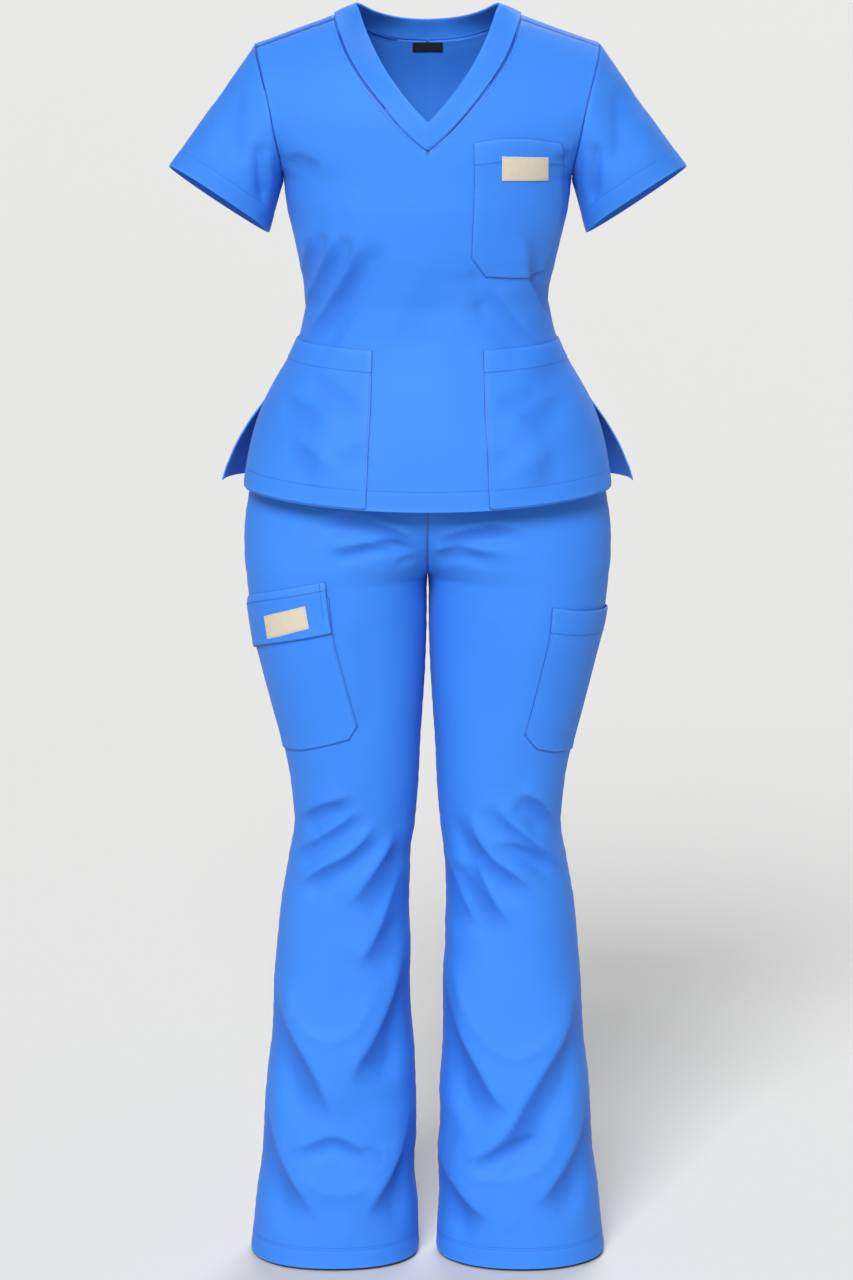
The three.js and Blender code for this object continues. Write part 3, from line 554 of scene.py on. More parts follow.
@dataclass(frozen=True)
class StretchTwill:
    """Scrub cloth: polyester, rayon and spandex twill, piece-dyed and calendered.

    It looks smooth and matte with a faint diagonal rib and a soft sheen at grazing angles. Where it
    is pressed flat, along seams and hems, it is a little smoother and lighter. Along each seam, where
    the edge is turned under, a thin dark line of painted shade is drawn, and painted shade darkens the
    trough of a crease and the flank below it.
    """

    name: str = "stretch_twill_azure"
    colour: str = "#3078D9"
    faded: str = "#3780DF"
    deep: str = "#2A71D3"
    pressed: str = "#4289E4"
    # painted shade: the thin dark line along each seam
    painted_seam_shade_colour: str = "#0F3F9A"
    # painted shade: the darker tone in and below the folds
    shaded: str = "#1A57BE"
    roughness: float = 0.7  # a matte filament twill lies between 0.6 and 0.8
    ior: float = 1.54  # between polyester, 1.58, and rayon, 1.52
    rib: float = 1.9  # the real rib is 0.8 mm apart, drawn wider so that it shows at all
    slub: float = 7.0  # length of the slow changes in the yarn

    def make(self) -> bpy.types.Material:
        """Makes the material."""
        material = empty_material(self.name)
        place = add(material, "ShaderNodeUVMap", {"uv_map": "cloth"})
        turned = add(
            material,
            "ShaderNodeMapping",
            {"Rotation": (0, 0, math.radians(63)), "Scale": (1000, 1000, 1000)},
            {"Vector": place.outputs["UV"]},
        )
        rib = add(
            material,
            "ShaderNodeTexWave",
            {"Scale": 0.314 / self.rib, "Distortion": 0.6, "Detail": 1.0, "Detail Scale": 1.4},
            {"Vector": turned.outputs["Vector"]},
        )
        body = add(material, "ShaderNodeTexCoord")
        yarn = add(
            material,
            "ShaderNodeTexNoise",
            {"Scale": 1000 / self.slub, "Detail": 3.0, "Roughness": 0.6},
            {"Vector": body.outputs["Object"]},
        )
        dye = add(
            material,
            "ShaderNodeTexNoise",
            {"Scale": 5.5, "Detail": 2.0, "Roughness": 0.5},
            {"Vector": body.outputs["Object"]},
        )
        shade = add(
            material,
            "ShaderNodeMix",
            {"data_type": "RGBA", 6: linear(self.deep), 7: linear(self.faded)},
            {0: dye.outputs["Fac"]},
        )
        grain = add(
            material,
            "ShaderNodeMix",
            {"data_type": "RGBA", 0: 0.35, 7: linear(self.colour)},
            {6: shade.outputs[2]},
        )
        press = add(material, "ShaderNodeAttribute", {"attribute_name": "press"})
        amount = add(material, "ShaderNodeMath", {"operation": "MULTIPLY", 1: 0.4}, {0: press.outputs["Fac"]})
        worn = add(
            material,
            "ShaderNodeMix",
            {"data_type": "RGBA", 7: linear(self.pressed)},
            {0: amount.outputs[0], 6: grain.outputs[2]},
        )
        # painted shade of the folds, mixed into the colour by the shade mark
        fold = add(material, "ShaderNodeAttribute", {"attribute_name": "shade"})
        painted_fold_shade_amount = add(material, "ShaderNodeMath", {"operation": "MULTIPLY", 1: 0.7}, {0: fold.outputs["Fac"]})
        painted_fold_shade_mix = add(
            material,
            "ShaderNodeMix",
            {"data_type": "RGBA", 7: linear(self.shaded)},
            {0: painted_fold_shade_amount.outputs[0], 6: worn.outputs[2]},
        )
        # painted shade along the seams and sewn edges, mixed into the colour by the groove mark
        groove = add(material, "ShaderNodeAttribute", {"attribute_name": "groove"})
        painted_seam_shade_amount = add(material, "ShaderNodeMath", {"operation": "MULTIPLY", 1: 0.95}, {0: groove.outputs["Fac"]})
        painted_seam_shade_colour = add(
            material,
            "ShaderNodeMix",
            {"data_type": "RGBA", 7: linear(self.painted_seam_shade_colour)},
            {0: painted_seam_shade_amount.outputs[0], 6: painted_fold_shade_mix.outputs[2]},
        )
        relief = add(
            material,
            "ShaderNodeMath",
            {"operation": "MULTIPLY_ADD", 1: 0.55},
            {0: rib.outputs["Fac"], 2: yarn.outputs["Fac"]},
        )
        bump = add(
            material,
            "ShaderNodeBump",
            {"Strength": 0.16, "Distance": 0.0004},
            {"Height": relief.outputs[0]},
        )
        smoother = add(
            material,
            "ShaderNodeMapRange",
            {"To Min": self.roughness, "To Max": self.roughness - 0.1},
            {"Value": press.outputs["Fac"]},
        )
        shader = add(
            material,
            "ShaderNodeBsdfPrincipled",
            {
                "IOR": self.ior,
                "Metallic": 0.0,
                "Specular IOR Level": 0.25,
                "Sheen Weight": 0.08,
                "Sheen Roughness": 0.45,
                "Sheen Tint": linear("#A9CCFF"),
            },
            {"Base Color": painted_seam_shade_colour.outputs[2], "Roughness": smoother.outputs["Result"], "Normal": bump.outputs["Normal"]},
        )
        add(material, "ShaderNodeOutputMaterial", {}, {"Surface": shader.outputs["BSDF"]})
        return material


@dataclass(frozen=True)
class SpunThread:
    """Core-spun polyester sewing thread, twisted and dyed, with a faint gloss on its strands."""

    name: str
    colour: str
    roughness: float = 0.5
    twist: float = 0.5  # pitch of the strands in mm

    def make(self) -> bpy.types.Material:
        """Makes the material."""
        material = empty_material(self.name)
        body = add(material, "ShaderNodeTexCoord")
        strand = add(
            material,
            "ShaderNodeTexNoise",
            {"Scale": 1000 / self.twist, "Detail": 1.0},
            {"Vector": body.outputs["Object"]},
        )
        bump = add(material, "ShaderNodeBump", {"Strength": 0.3, "Distance": 0.0001}, {"Height": strand.outputs["Fac"]})
        tone = add(
            material,
            "ShaderNodeHueSaturation",
            {"Color": linear(self.colour)},
            {
                "Value": add(
                    material, "ShaderNodeMapRange", {"To Min": 0.9, "To Max": 1.1}, {"Value": strand.outputs["Fac"]}
                ).outputs["Result"]
            },
        )
        shader = add(
            material,
            "ShaderNodeBsdfPrincipled",
            {"Roughness": self.roughness, "IOR": 1.58, "Specular IOR Level": 0.45},
            {"Base Color": tone.outputs["Color"], "Normal": bump.outputs["Normal"]},
        )
        add(material, "ShaderNodeOutputMaterial", {}, {"Surface": shader.outputs["BSDF"]})
        return material


@dataclass(frozen=True)
class WovenSatin:
    """Satin-woven polyester ribbon, as patches and neck labels are made of.

    Fine floats run across it, so it has a soft gloss and a faint cross rib.
    """

    name: str
    colour: str
    shade: str
    roughness: float = 0.46
    weft: float = 1.1  # the real picks are 0.25 mm apart, drawn wider so that they show

    def make(self) -> bpy.types.Material:
        """Makes the material."""
        material = empty_material(self.name)
        place = add(material, "ShaderNodeUVMap", {"uv_map": "cloth"})
        scaled = add(
            material, "ShaderNodeMapping", {"Scale": (1000, 1000, 1000)}, {"Vector": place.outputs["UV"]}
        )
        weft = add(
            material,
            "ShaderNodeTexWave",
            {"bands_direction": "Y", "Scale": 0.314 / self.weft, "Distortion": 0.8, "Detail": 1.0},
            {"Vector": scaled.outputs["Vector"]},
        )
        cloud = add(material, "ShaderNodeTexNoise", {"Scale": 0.16, "Detail": 3.0}, {"Vector": scaled.outputs["Vector"]})
        tone = add(
            material,
            "ShaderNodeMix",
            {"data_type": "RGBA", 6: linear(self.shade), 7: linear(self.colour)},
            {0: cloud.outputs["Fac"]},
        )
        bump = add(material, "ShaderNodeBump", {"Strength": 0.35, "Distance": 0.0002}, {"Height": weft.outputs["Fac"]})
        shader = add(
            material,
            "ShaderNodeBsdfPrincipled",
            {"Roughness": self.roughness, "IOR": 1.58, "Specular IOR Level": 0.4, "Sheen Weight": 0.1},
            {"Base Color": tone.outputs[2], "Normal": bump.outputs["Normal"]},
        )
        add(material, "ShaderNodeOutputMaterial", {}, {"Surface": shader.outputs["BSDF"]})
        return material


class Finishes:
    """The finishes of the set, each made once."""

    def __init__(self) -> None:
        """Makes all the materials."""
        self.cloth = StretchTwill().make()
        self.thread = SpunThread("spun_thread_azure", "#1E5CBC").make()
        self.cream_thread = SpunThread("spun_thread_cream", "#C4B9A4").make()
        self.patch = WovenSatin("woven_satin_cream", "#C9BFAC", "#BFB49F").make()
        self.label = WovenSatin("woven_satin_black", "#17181B", "#0F1012", 0.55).make()


# Meshes


def make_object(
    name: str, points: Array, faces: list, uv: Array | None = None, marks: dict[str, Array] | None = None
) -> bpy.types.Object:
    """Makes an object from points in millimetres.

    Args:
        name: its name.
        points: its points.
        faces: the corners of each face.
        uv: place of each face corner on the laid-out cloth, or None.
        marks: named measures of each point from 0 to 1, for its material.

    Returns:
        The object, shaded smooth.
    """
    mesh = bpy.data.meshes.new(name)
    mesh.from_pydata((points * MM).tolist(), [], faces)
    if uv is not None:
        layer = mesh.uv_layers.new(name="cloth")
        layer.data.foreach_set("uv", (uv * MM).astype(np.float32).ravel())
    for mark, values in (marks or {}).items():
        mesh.attributes.new(mark, "FLOAT", "POINT").data.foreach_set("value", values.astype(np.float32))
    mesh.polygons.foreach_set("use_smooth", np.ones(len(mesh.polygons), bool))
    mesh.update()
    made = bpy.data.objects.new(name, mesh)
    bpy.context.scene.collection.objects.link(made)
    return made


def shell(
    name: str, layer: Layer, relief: Array, thickness: float = CLOTH_WALL, press: Array | None = None
) -> bpy.types.Object:
    """Makes a closed thin piece of cloth from a layer.

    Args:
        name: name of the object.
        layer: the layer.
        relief: how far the outer side of each point stands out of it.
        thickness: thickness of the cloth.
        press: how flat each point is pressed.

    Returns:
        The object.
    """
    outer = layer.points + layer.normals * relief[:, None]
    inner = outer - layer.normals * thickness
    count = len(outer)
    faces, uv = [], []
    edges: dict[tuple[int, int], tuple[Array, Array]] = {}
    for face, corners in zip(layer.faces.tolist(), layer.corners):
        keep = [k for k in range(4) if face[k] != face[k - 1]]
        if len(keep) < 3:
            continue
        faces.append([face[k] for k in keep])
        uv += [corners[k] for k in keep]
        for i, k in enumerate(keep):
            nxt = keep[(i + 1) % len(keep)]
            edges[(face[k], face[nxt])] = (corners[k], corners[nxt])
    backs = [[i + count for i in reversed(face)] for face in faces]
    start = 0
    back_uv = []
    for face in faces:
        back_uv += uv[start : start + len(face)][::-1]
        start += len(face)
    uv += back_uv
    faces += backs
    rim = []
    for (a, b), (flat_a, flat_b) in edges.items():
        if (b, a) not in edges:
            faces.append([b, a, a + count, b + count])
            uv += [flat_b, flat_a, flat_a, flat_b]
            rim.append((a, b))
    flat = np.zeros(count) if press is None else press
    # groove and shade carry painted shade: the dark line along sewn edges and the shade of the folds
    marks = {"press": flat, "groove": bell(layer.seam, SEAM_SHADE), "shade": layer.shade}
    marks = {mark: np.concatenate([values, values]) for mark, values in marks.items()}
    made = make_object(name, np.concatenate([outer, inner]), faces, np.array(uv), marks)
    sharp = {tuple(sorted(pair)) for a, b in rim for pair in ((a, b), (a + count, b + count))}
    for edge in made.data.edges:
        if tuple(sorted(edge.vertices)) in sharp:
            edge.use_edge_sharp = True
    return made


class Needle:
    """Sews runs of thread on the cloth and keeps them as one mesh for each group."""

    pitch = 3.4
    length = 2.7
    radius = 0.3

    def __init__(self) -> None:
        """Starts with no thread."""
        self.points: list[Array] = []
        self.faces: list[list[int]] = []
        self.count = 0

    def run(self, path: Path, lay: Lay, lift: float, pitch: float | None = None) -> None:
        """Sews along a path of places on the laid-out cloth.

        Args:
            path: the path.
            lay: the laid-out cloth.
            lift: height of the surface that is sewn above the panel.
            pitch: distance from stitch to stitch.
        """
        pitch = pitch or self.pitch
        number = max(1, int(path.length / pitch))
        start = (np.arange(number) + 0.12) / number
        self.sew(*lay.at(path.at(start)), *lay.at(path.at(start + self.length / self.pitch / number * 0.95)), lift)

    def sew(self, heads: Array, head_normals: Array, tails: Array, tail_normals: Array, lift: Any) -> None:
        """Adds one stitch from each head to each tail.

        Args:
            heads: first ends.
            head_normals: outward directions there.
            tails: second ends.
            tail_normals: outward directions there.
            lift: height of the surface above the points.
        """
        lift = np.broadcast_to(np.asarray(lift, float), (len(heads),))[:, None]
        normal = head_normals + tail_normals
        normal /= np.maximum(np.linalg.norm(normal, axis=1, keepdims=True), 1e-9)
        along = tails - heads
        side = np.cross(normal, along)
        side /= np.maximum(np.linalg.norm(side, axis=1, keepdims=True), 1e-9)
        rings = []
        for share, height, size in ((0.0, -0.5, 0.0), (0.16, 0.02, 0.8), (0.84, 0.02, 0.8), (1.0, -0.5, 0.0)):
            centre = heads + along * share + normal * (lift + height * self.radius)
            if size == 0:
                rings.append(centre[:, None])
                continue
            reach = self.radius * size * 1.3
            across, up = side * reach, normal * reach
            rings.append(np.stack([centre + across, centre + up, centre - across, centre - up], axis=1))
        block = np.concatenate(rings, axis=1)
        shape = [[0, 1 + k, 1 + (k + 1) % 4] for k in range(4)]
        shape += [[1 + k, 5 + k, 5 + (k + 1) % 4, 1 + (k + 1) % 4] for k in range(4)]
        shape += [[5 + k, 9, 5 + (k + 1) % 4] for k in range(4)]
        for number in range(len(block)):
            base = self.count + number * 10
            self.faces += [[base + corner for corner in face] for face in shape]
        self.points.append(block.reshape(-1, 3))
        self.count += len(block) * 10

    def finish(self, name: str, material: bpy.types.Material) -> bpy.types.Object:
        """Makes the object of all the thread sewn so far."""
        made = make_object(name, np.concatenate(self.points), self.faces)
        made.data.materials.append(material)
        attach(made, "root")
        return made


# Folds of the top and of the legs: side, on both halves, rise, width, path of x, z places, and the
# side on which the cloth falls away

TOP_FOLDS = [
    Fold(*row)
    for row in (
        ("front", False, 6.2, 8, [[-128, -214], [-132, -234], [-137, -251], [-141, -271], [-144, -290]], -1),
        ("front", False, 7.6, 9, [[-103, -214], [-107, -233], [-117, -255], [-125, -272], [-132, -290], [-141, -309], [-146, -330]], -1),
        ("front", False, 6.6, 11, [[-72, -216], [-81, -241], [-93, -265], [-105, -285], [-119, -308], [-132, -330], [-140, -346]], -1),
        ("front", False, 1.4, 18, [[2, -240], [-16, -275], [-36, -310], [-52, -350]], -1),
        ("front", False, 6.8, 9, [[100, -212], [105, -248], [106, -268], [113, -283], [122, -301], [134, -322], [140, -338]], -1),
        ("front", False, 2.2, 6, [[120, -214], [122, -238], [125, -258], [127, -282]]),
        ("front", False, 2.6, 11, [[74, -276], [88, -300], [106, -322], [126, -346]], 1),
        ("front", False, -1.6, 14, [[47, -255], [56, -290], [61, -334]]),
        ("front", False, 2.4, 8, [[-160, -140], [-142, -131], [-122, -136], [-106, -148]], 1),
        ("front", False, 2.6, 6, [[158, -132], [150, -129], [140, -131], [133, -137]], -1),
        ("front", False, 4.2, 20, [[-100, -400], [-112, -450], [-120, -512]]),
        ("front", False, 4.2, 22, [[96, -410], [112, -455], [118, -512]]),
        ("front", False, 2.0, 12, [[-124, -366], [-102, -376], [-82, -390], [-62, -400]], 1),
        ("front", False, 2.5, 12, [[-158, -393], [-137, -398], [-119, -408], [-100, -424]], 1),
        ("front", False, 2.7, 13, [[-150, -436], [-128, -445], [-111, -459], [-92, -480]], 1),
        ("front", False, 1.7, 11, [[-102, -453], [-81, -444], [-64, -438]], 1),
        ("front", False, 2.0, 11, [[98, -369], [121, -362], [146, -356]], 1),
        ("front", False, 2.2, 12, [[62, -400], [86, -387], [110, -387], [130, -395]], 1),
        ("front", False, 2.8, 13, [[80, -426], [102, -411], [125, -398], [150, -393]], 1),
        ("front", False, 2.4, 13, [[93, -474], [115, -460], [139, -446]], 1),
        ("front", False, 1.5, 11, [[58, -452], [78, -446], [97, -450]], 1),
        ("front", False, 1.6, 10, [[158, -374], [158, -400], [157, -432]]),
        ("front", False, 1.8, 12, [[156, -402], [168, -424], [178, -446]]),
        ("front", False, 1.6, 12, [[-159, -372], [-161, -400], [-160, -428]]),
        ("front", False, 2.2, 26, [[-10, -420], [4, -512]]),
        ("back", False, 5.0, 9, [[-122, -206], [-118, -236], [-122, -262], [-132, -288], [-142, -314]], -1),
        ("back", False, 5.4, 11, [[-92, -214], [-94, -246], [-104, -276], [-120, -304], [-136, -328]], -1),
        ("back", False, 3.4, 13, [[-56, -236], [-64, -268], [-82, -298], [-104, -326]], -1),
        ("back", False, 5.2, 10, [[112, -204], [112, -236], [118, -266], [130, -292], [142, -312]], 1),
        ("back", False, 4.8, 12, [[82, -222], [88, -254], [100, -284], [118, -312], [134, -334]], 1),
        ("back", False, 2.8, 13, [[40, -248], [52, -282], [72, -310], [96, -330]], 1),
        ("back", False, 2.0, 13, [[-96, -356], [-48, -344], [0, -348], [46, -342], [92, -354]], 1),
        ("back", True, 3.2, 20, [[118, -392], [142, -440], [152, -500]], -1),
        ("back", False, 2.6, 20, [[36, -392], [50, -440], [56, -506]], -1),
        ("back", False, 2.6, 20, [[-44, -396], [-60, -440], [-66, -506]], 1),
        ("back", True, 2.6, 10, [[152, -124], [134, -128], [112, -148]], -1),
    )
]
SLEEVE_FOLDS = [
    Fold(*row)
    for row in (
        ("front", True, 1.7, 5, [[172, -130], [170, -158], [167, -190]]),
        ("front", True, -5.0, 9, [[184, -122], [181, -160], [177, -204]]),
        ("front", False, -4.0, 17, [[208, -64], [208, -112], [203, -166]]),
        ("front", False, -3.4, 15, [[-204, -60], [-210, -108], [-202, -160]]),
        ("front", False, 1.6, 18, [[228, -90], [238, -130], [236, -160]]),
        ("front", False, 1.6, 16, [[-224, -84], [-236, -122], [-238, -156]]),
        ("back", True, -4.6, 10, [[178, -112], [175, -150], [170, -196]]),
        ("back", True, 2.0, 14, [[200, -80], [204, -120], [198, -172]]),
        ("back", True, -1.8, 15, [[222, -96], [228, -130], [224, -166]]),
    )
]

LEG_FOLDS = [
    Fold(*row)
    for row in (
        ("front", False, 4.6, 8, [[-128, -530], [-93, -522], [-66, -526], [-44, -533], [-22, -543], [-8, -552]], 1),
        ("front", False, 4.6, 7, [[-114, -561], [-88, -557], [-64, -552], [-38, -549], [-22, -553], [-5, -562]], 1),
        ("front", False, 4.6, 8, [[6, -548], [27, -541], [48, -536], [71, -533], [89, -535], [118, -544]], 1),
        ("front", False, 4.2, 7, [[3, -565], [22, -559], [39, -557], [59, -561], [94, -568]], 1),
        ("front", False, 1.8, 4, [[-37, -573], [-24, -569], [-10, -567]], 1),
        ("front", False, 4.6, 9, [[-149, -881], [-136, -867], [-120, -855], [-100, -847], [-80, -839]], 1),
        ("front", False, 4.4, 8, [[-157, -930], [-142, -910], [-123, -895], [-100, -878], [-86, -866], [-69, -858]], 1),
        ("front", False, 5.4, 9, [[-150, -958], [-134, -940], [-112, -924], [-94, -914], [-78, -900], [-65, -885], [-51, -872]], 1),
        ("front", False, 7.0, 15, [[-95, -974], [-76, -950], [-63, -930], [-53, -915], [-45, -901], [-39, -885]], 1),
        ("front", False, 7.0, 15, [[-84, -1044], [-65, -1012], [-50, -981], [-36, -948], [-23, -921]], 1),
        ("front", False, 5.4, 11, [[48, -860], [56, -889], [65, -904], [78, -918], [95, -931], [111, -945], [130, -962]], 1),
        ("front", False, 4.4, 9, [[76, -849], [87, -868], [102, -883], [120, -900], [136, -913], [149, -925]], 1),
        ("front", False, 4.0, 8, [[72, -896], [98, -899], [122, -908], [141, -922], [162, -946]], 1),
        ("front", False, 5.0, 10, [[100, -838], [118, -846], [130, -857], [139, -872], [149, -895]], 1),
        ("front", False, 6.4, 14, [[53, -917], [61, -934], [70, -950], [81, -971], [103, -1003]], 1),
        ("front", False, 4.6, 11, [[19, -915], [27, -933], [37, -958], [48, -981], [63, -1004]], 1),
        ("front", False, 9.0, 17, [[-171, -1051], [-161, -1090], [-145, -1126], [-126, -1159], [-112, -1191], [-101, -1223]], 1),
        ("front", False, 9.5, 18, [[-23, -995], [-33, -1042], [-48, -1086], [-66, -1126], [-82, -1153], [-90, -1184]], -1),
        ("front", False, 2.6, 10, [[-168, -1045], [-156, -1079], [-137, -1114], [-110, -1126], [-82, -1112], [-64, -1080], [-42, -1031]]),
        ("front", False, 8.5, 16, [[-181, -1194], [-173, -1233], [-159, -1271], [-141, -1302], [-116, -1338]], 1),
        ("front", False, 9.5, 18, [[-20, -1198], [-28, -1240], [-42, -1274], [-60, -1306], [-77, -1339]], -1),
        ("front", False, 3.6, 8, [[-158, -1258], [-133, -1244], [-110, -1235], [-90, -1239], [-74, -1251], [-62, -1268]], 1),
        ("front", False, 3.2, 9, [[-54, -1245], [-52, -1266], [-64, -1282]], 1),
        ("front", False, 2.0, 9, [[-142, -1284], [-115, -1302], [-82, -1300], [-65, -1287]]),
        ("front", False, 9.0, 17, [[17, -1033], [27, -1076], [41, -1120], [62, -1161], [80, -1191], [97, -1208]], 1),
        ("front", False, 8.5, 16, [[167, -1052], [160, -1090], [149, -1125], [128, -1161], [106, -1198], [94, -1222], [69, -1253], [39, -1286]], -1),
        ("front", False, 2.6, 10, [[18, -1029], [33, -1061], [50, -1104], [73, -1135], [99, -1145], [123, -1136], [143, -1115], [156, -1085]]),
        ("front", False, 3.8, 8, [[42, -1270], [65, -1255], [88, -1241], [110, -1234], [140, -1236]], 1),
        ("front", False, 9.0, 17, [[7, -1251], [18, -1279], [37, -1301], [55, -1320], [76, -1334]], 1),
        ("front", False, 8.0, 16, [[175, -1185], [171, -1233], [155, -1267], [135, -1297], [114, -1322]], -1),
        ("front", False, 2.0, 9, [[38, -1285], [69, -1288], [97, -1285], [124, -1274], [142, -1251], [143, -1224]]),
        ("front", True, -1.4, 18, [[70, -640], [62, -720], [74, -800]]),
        ("back", False, 4.4, 10, [[22, -594], [56, -618], [96, -628], [140, -618]], 1),
        ("back", False, 4.0, 9, [[-20, -590], [-50, -610], [-88, -622], [-130, -620]], -1),
        ("back", False, 2.6, 9, [[-26, -640], [-58, -658], [-98, -662]], -1),
        ("back", False, 2.2, 9, [[30, -650], [66, -668], [102, -666]], 1),
        ("back", True, 1.8, 14, [[10, -500], [34, -540], [72, -566]], 1),
        ("back", False, 5.0, 9, [[28, -846], [56, -862], [90, -868], [128, -858], [150, -844]], 1),
        ("back", False, 4.2, 8, [[24, -884], [52, -900], [88, -904], [124, -894]], 1),
        ("back", False, 5.2, 10, [[152, -884], [128, -910], [98, -930], [62, -940], [34, -932]], -1),
        ("back", False, 4.0, 9, [[150, -934], [126, -956], [98, -974], [68, -980]], -1),
        ("back", False, 5.0, 9, [[-26, -850], [-58, -866], [-94, -870], [-136, -856]], -1),
        ("back", False, 4.6, 9, [[-150, -876], [-124, -900], [-92, -914], [-56, -916], [-28, -904]], 1),
        ("back", False, 4.4, 10, [[-22, -930], [-44, -952], [-78, -966], [-114, -960]], -1),
        ("back", False, 3.6, 9, [[-148, -948], [-122, -974], [-92, -990], [-64, -992]], 1),
        ("back", False, 8.0, 16, [[166, -1040], [158, -1084], [142, -1124], [120, -1160], [100, -1198]], -1),
        ("back", False, 7.4, 15, [[22, -1010], [32, -1056], [48, -1100], [68, -1140], [86, -1170]], 1),
        ("back", False, 8.0, 16, [[180, -1180], [172, -1224], [156, -1262], [136, -1296], [110, -1328]], -1),
        ("back", False, 7.4, 15, [[16, -1216], [28, -1256], [46, -1288], [68, -1320]], 1),
        ("back", False, 2.4, 11, [[34, -1046], [52, -1092], [76, -1126], [102, -1134], [128, -1118], [148, -1082]]),
        ("back", False, 8.4, 16, [[-164, -1024], [-158, -1070], [-144, -1112], [-124, -1150], [-102, -1184]], 1),
        ("back", False, 7.6, 16, [[-24, -1040], [-34, -1086], [-52, -1130], [-72, -1168], [-90, -1204]], -1),
        ("back", False, 7.6, 16, [[-182, -1168], [-174, -1212], [-160, -1252], [-140, -1288], [-112, -1324]], 1),
        ("back", False, 7.8, 15, [[-14, -1200], [-26, -1244], [-44, -1282], [-66, -1314]], -1),
        ("back", False, 2.6, 11, [[-154, -1048], [-136, -1094], [-112, -1120], [-86, -1116], [-62, -1086], [-44, -1042]]),
    )
]

TORSO_ROWS = [
    [40, 187.6, 187.6, 105, 94, 0, 0, 0.7],
    [-19, 187.6, 187.6, 106, 94, 0, 0, 0.73],
    [-45, 182, 182, 107, 95, 0, 0, 0.8],
    [-70, 175.5, 175.5, 108, 96, 0, 0, 0.78],
    [-95, 170, 170, 111, 96, 0, 0, 0.73],
    [-120, 165, 165, 113, 97, 0, 0, 0.62],
    [-143, 160.5, 160.5, 116, 97, 0, 0, 0.42],
    [-157, 159, 159, 117, 98, 0, 0, 0.24],
    [-168, 158, 158, 118, 98, 0, 0, 0],
    [-195, 155, 155, 121, 100, 0, 0, 0],
    [-234, 146, 146, 119, 98, 0, 0, 0],
    [-274, 137, 137, 111, 91, 0, 0, 0],
    [-301, 134, 134, 106, 88, 0, 0, 0],
    [-327, 138, 138, 107, 90, 0, 0, 0],
    [-354, 148, 148, 113, 97, 0, 0, 0],
    [-381, 162, 162, 121, 108, 0, 0, 0],
    [-403, 175, 175, 127, 115, 0, 0, 0],
    [-437, 189, 199, 137, 124, 9, 6, 0],
    [-470, 197, 217, 144, 131, 18, 11, 0],
    [-504, 202, 229, 148, 137, 25, 15, 0],
    [-530, 206, 234, 150, 140, 27, 16, 0],
]
LEG_ROWS = [
    [-330, 127, 0, 0, 92, 76],
    [-370, 139, 0, 0, 97, 90],
    [-403, 155, 0, 0, 102, 101],
    [-437, 173, 0, 0, 107, 109],
    [-474, 187, 0, 0, 110, 115],
    [-503, 195.5, 0, 0.06, 111, 118],
    [-530, 201, 0, 0.22, 112, 119],
    [-560, 204, 0, 0.52, 112, 118],
    [-585, 204, 0, 0.8, 110, 115],
    [-598, 203, 0, 0.94, 108, 112],
    [-605, 202, 0, 1, 107, 111],
    [-618, 201, 1.2, 1, 106, 109],
    [-660, 196, 1.4, 1, 103, 105],
    [-706, 185.5, 2.8, 1, 98, 99],
    [-752, 174, 5.6, 1, 92, 93],
    [-797, 162.5, 8.4, 1, 85, 86],
    [-843, 154, 10.4, 1, 78, 80],
    [-890, 150, 14.2, 1, 73, 77],
    [-936, 157.5, 19, 1, 72, 77],
    [-983, 165.5, 19.8, 1, 73, 78],
    [-1029, 170, 19.2, 1, 74, 79],
    [-1076, 174, 17.6, 1, 76, 81],
    [-1170, 181.5, 14.6, 1, 80, 84],
    [-1265, 189.5, 11.6, 1, 83, 86],
    [-1360, 199, 11, 1, 86, 88],
    [-1392, 202.5, 10.4, 1, 87, 89],
]


def ridge_z(x: Any) -> Array:
    """Height of the shoulder ridge above a place."""
    return RIDGE_Z - RIDGE_FALL * (np.abs(x) - NECK_HALF)


def hem_relief(distance: Array, width: float) -> Array:
    """Outer relief of a turned hem: a low step, a groove under its stitches and a rounded edge.

    Args:
        distance: distance to the edge.
        width: depth of the hem.

    Returns:
        The relief at each distance.
    """
    step = 0.34 * smooth((width - distance) / 2.2)
    return step - 0.42 * bell(distance - width + 2.2, 1.5) - 0.3 * bell(distance, 1.2)


def seam_relief(distance: Array, run: Array, allowance: float) -> Array:
    """Outer relief along a sewn seam: a valley, its allowance beneath and slight puckers.

    Args:
        distance: distance to the seam.
        run: a measure that grows along the seam.
        allowance: height of the turned edge beneath.

    Returns:
        The relief at each distance.
    """
    pucker = 0.16 * np.sin(run / 2.6) + 0.12 * np.sin(run / 4.1 + 1.0)
    return allowance * smooth((11 - distance) / 3) - 0.7 * bell(distance, 1.4) + pucker * bell(distance - 4, 5.0)


def pressed(*distances: Array) -> Array:
    """How flat the cloth is pressed near its seams and edges."""
    return np.clip(sum(0.85 * bell(distance, 3.6) for distance in distances), 0, 1)


@dataclass(frozen=True)
class Cut:
    """Size of a piece of cloth before it was sewn.

    Attributes:
        width: its width in metres. Not used.
        length: its length in metres. Not used.
        area: its area in square metres.
        on: the pieces or nodes that it hangs from or lies on.
        held: how it is held. Not used.
    """

    width: float
    length: float
    area: float
    on: tuple[str, ...] = ()
    held: str = "hung"


def declare(made: bpy.types.Object, node: str, material: bpy.types.Material, cut: Cut) -> None:
    """Gives a piece its material, hides the solid of the node that it stands for and notes its faces and area beside
    the area of its cut.
    """
    made.data.materials.append(material)
    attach(made, "root")
    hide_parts(node)
    list(cut.on)
    area = sum(face.area for face in made.data.polygons) / 2
    LOG.info("%s: %d faces, %.4f m2 a side, cut %.4f m2", made.name, len(made.data.polygons), area, cut.area)


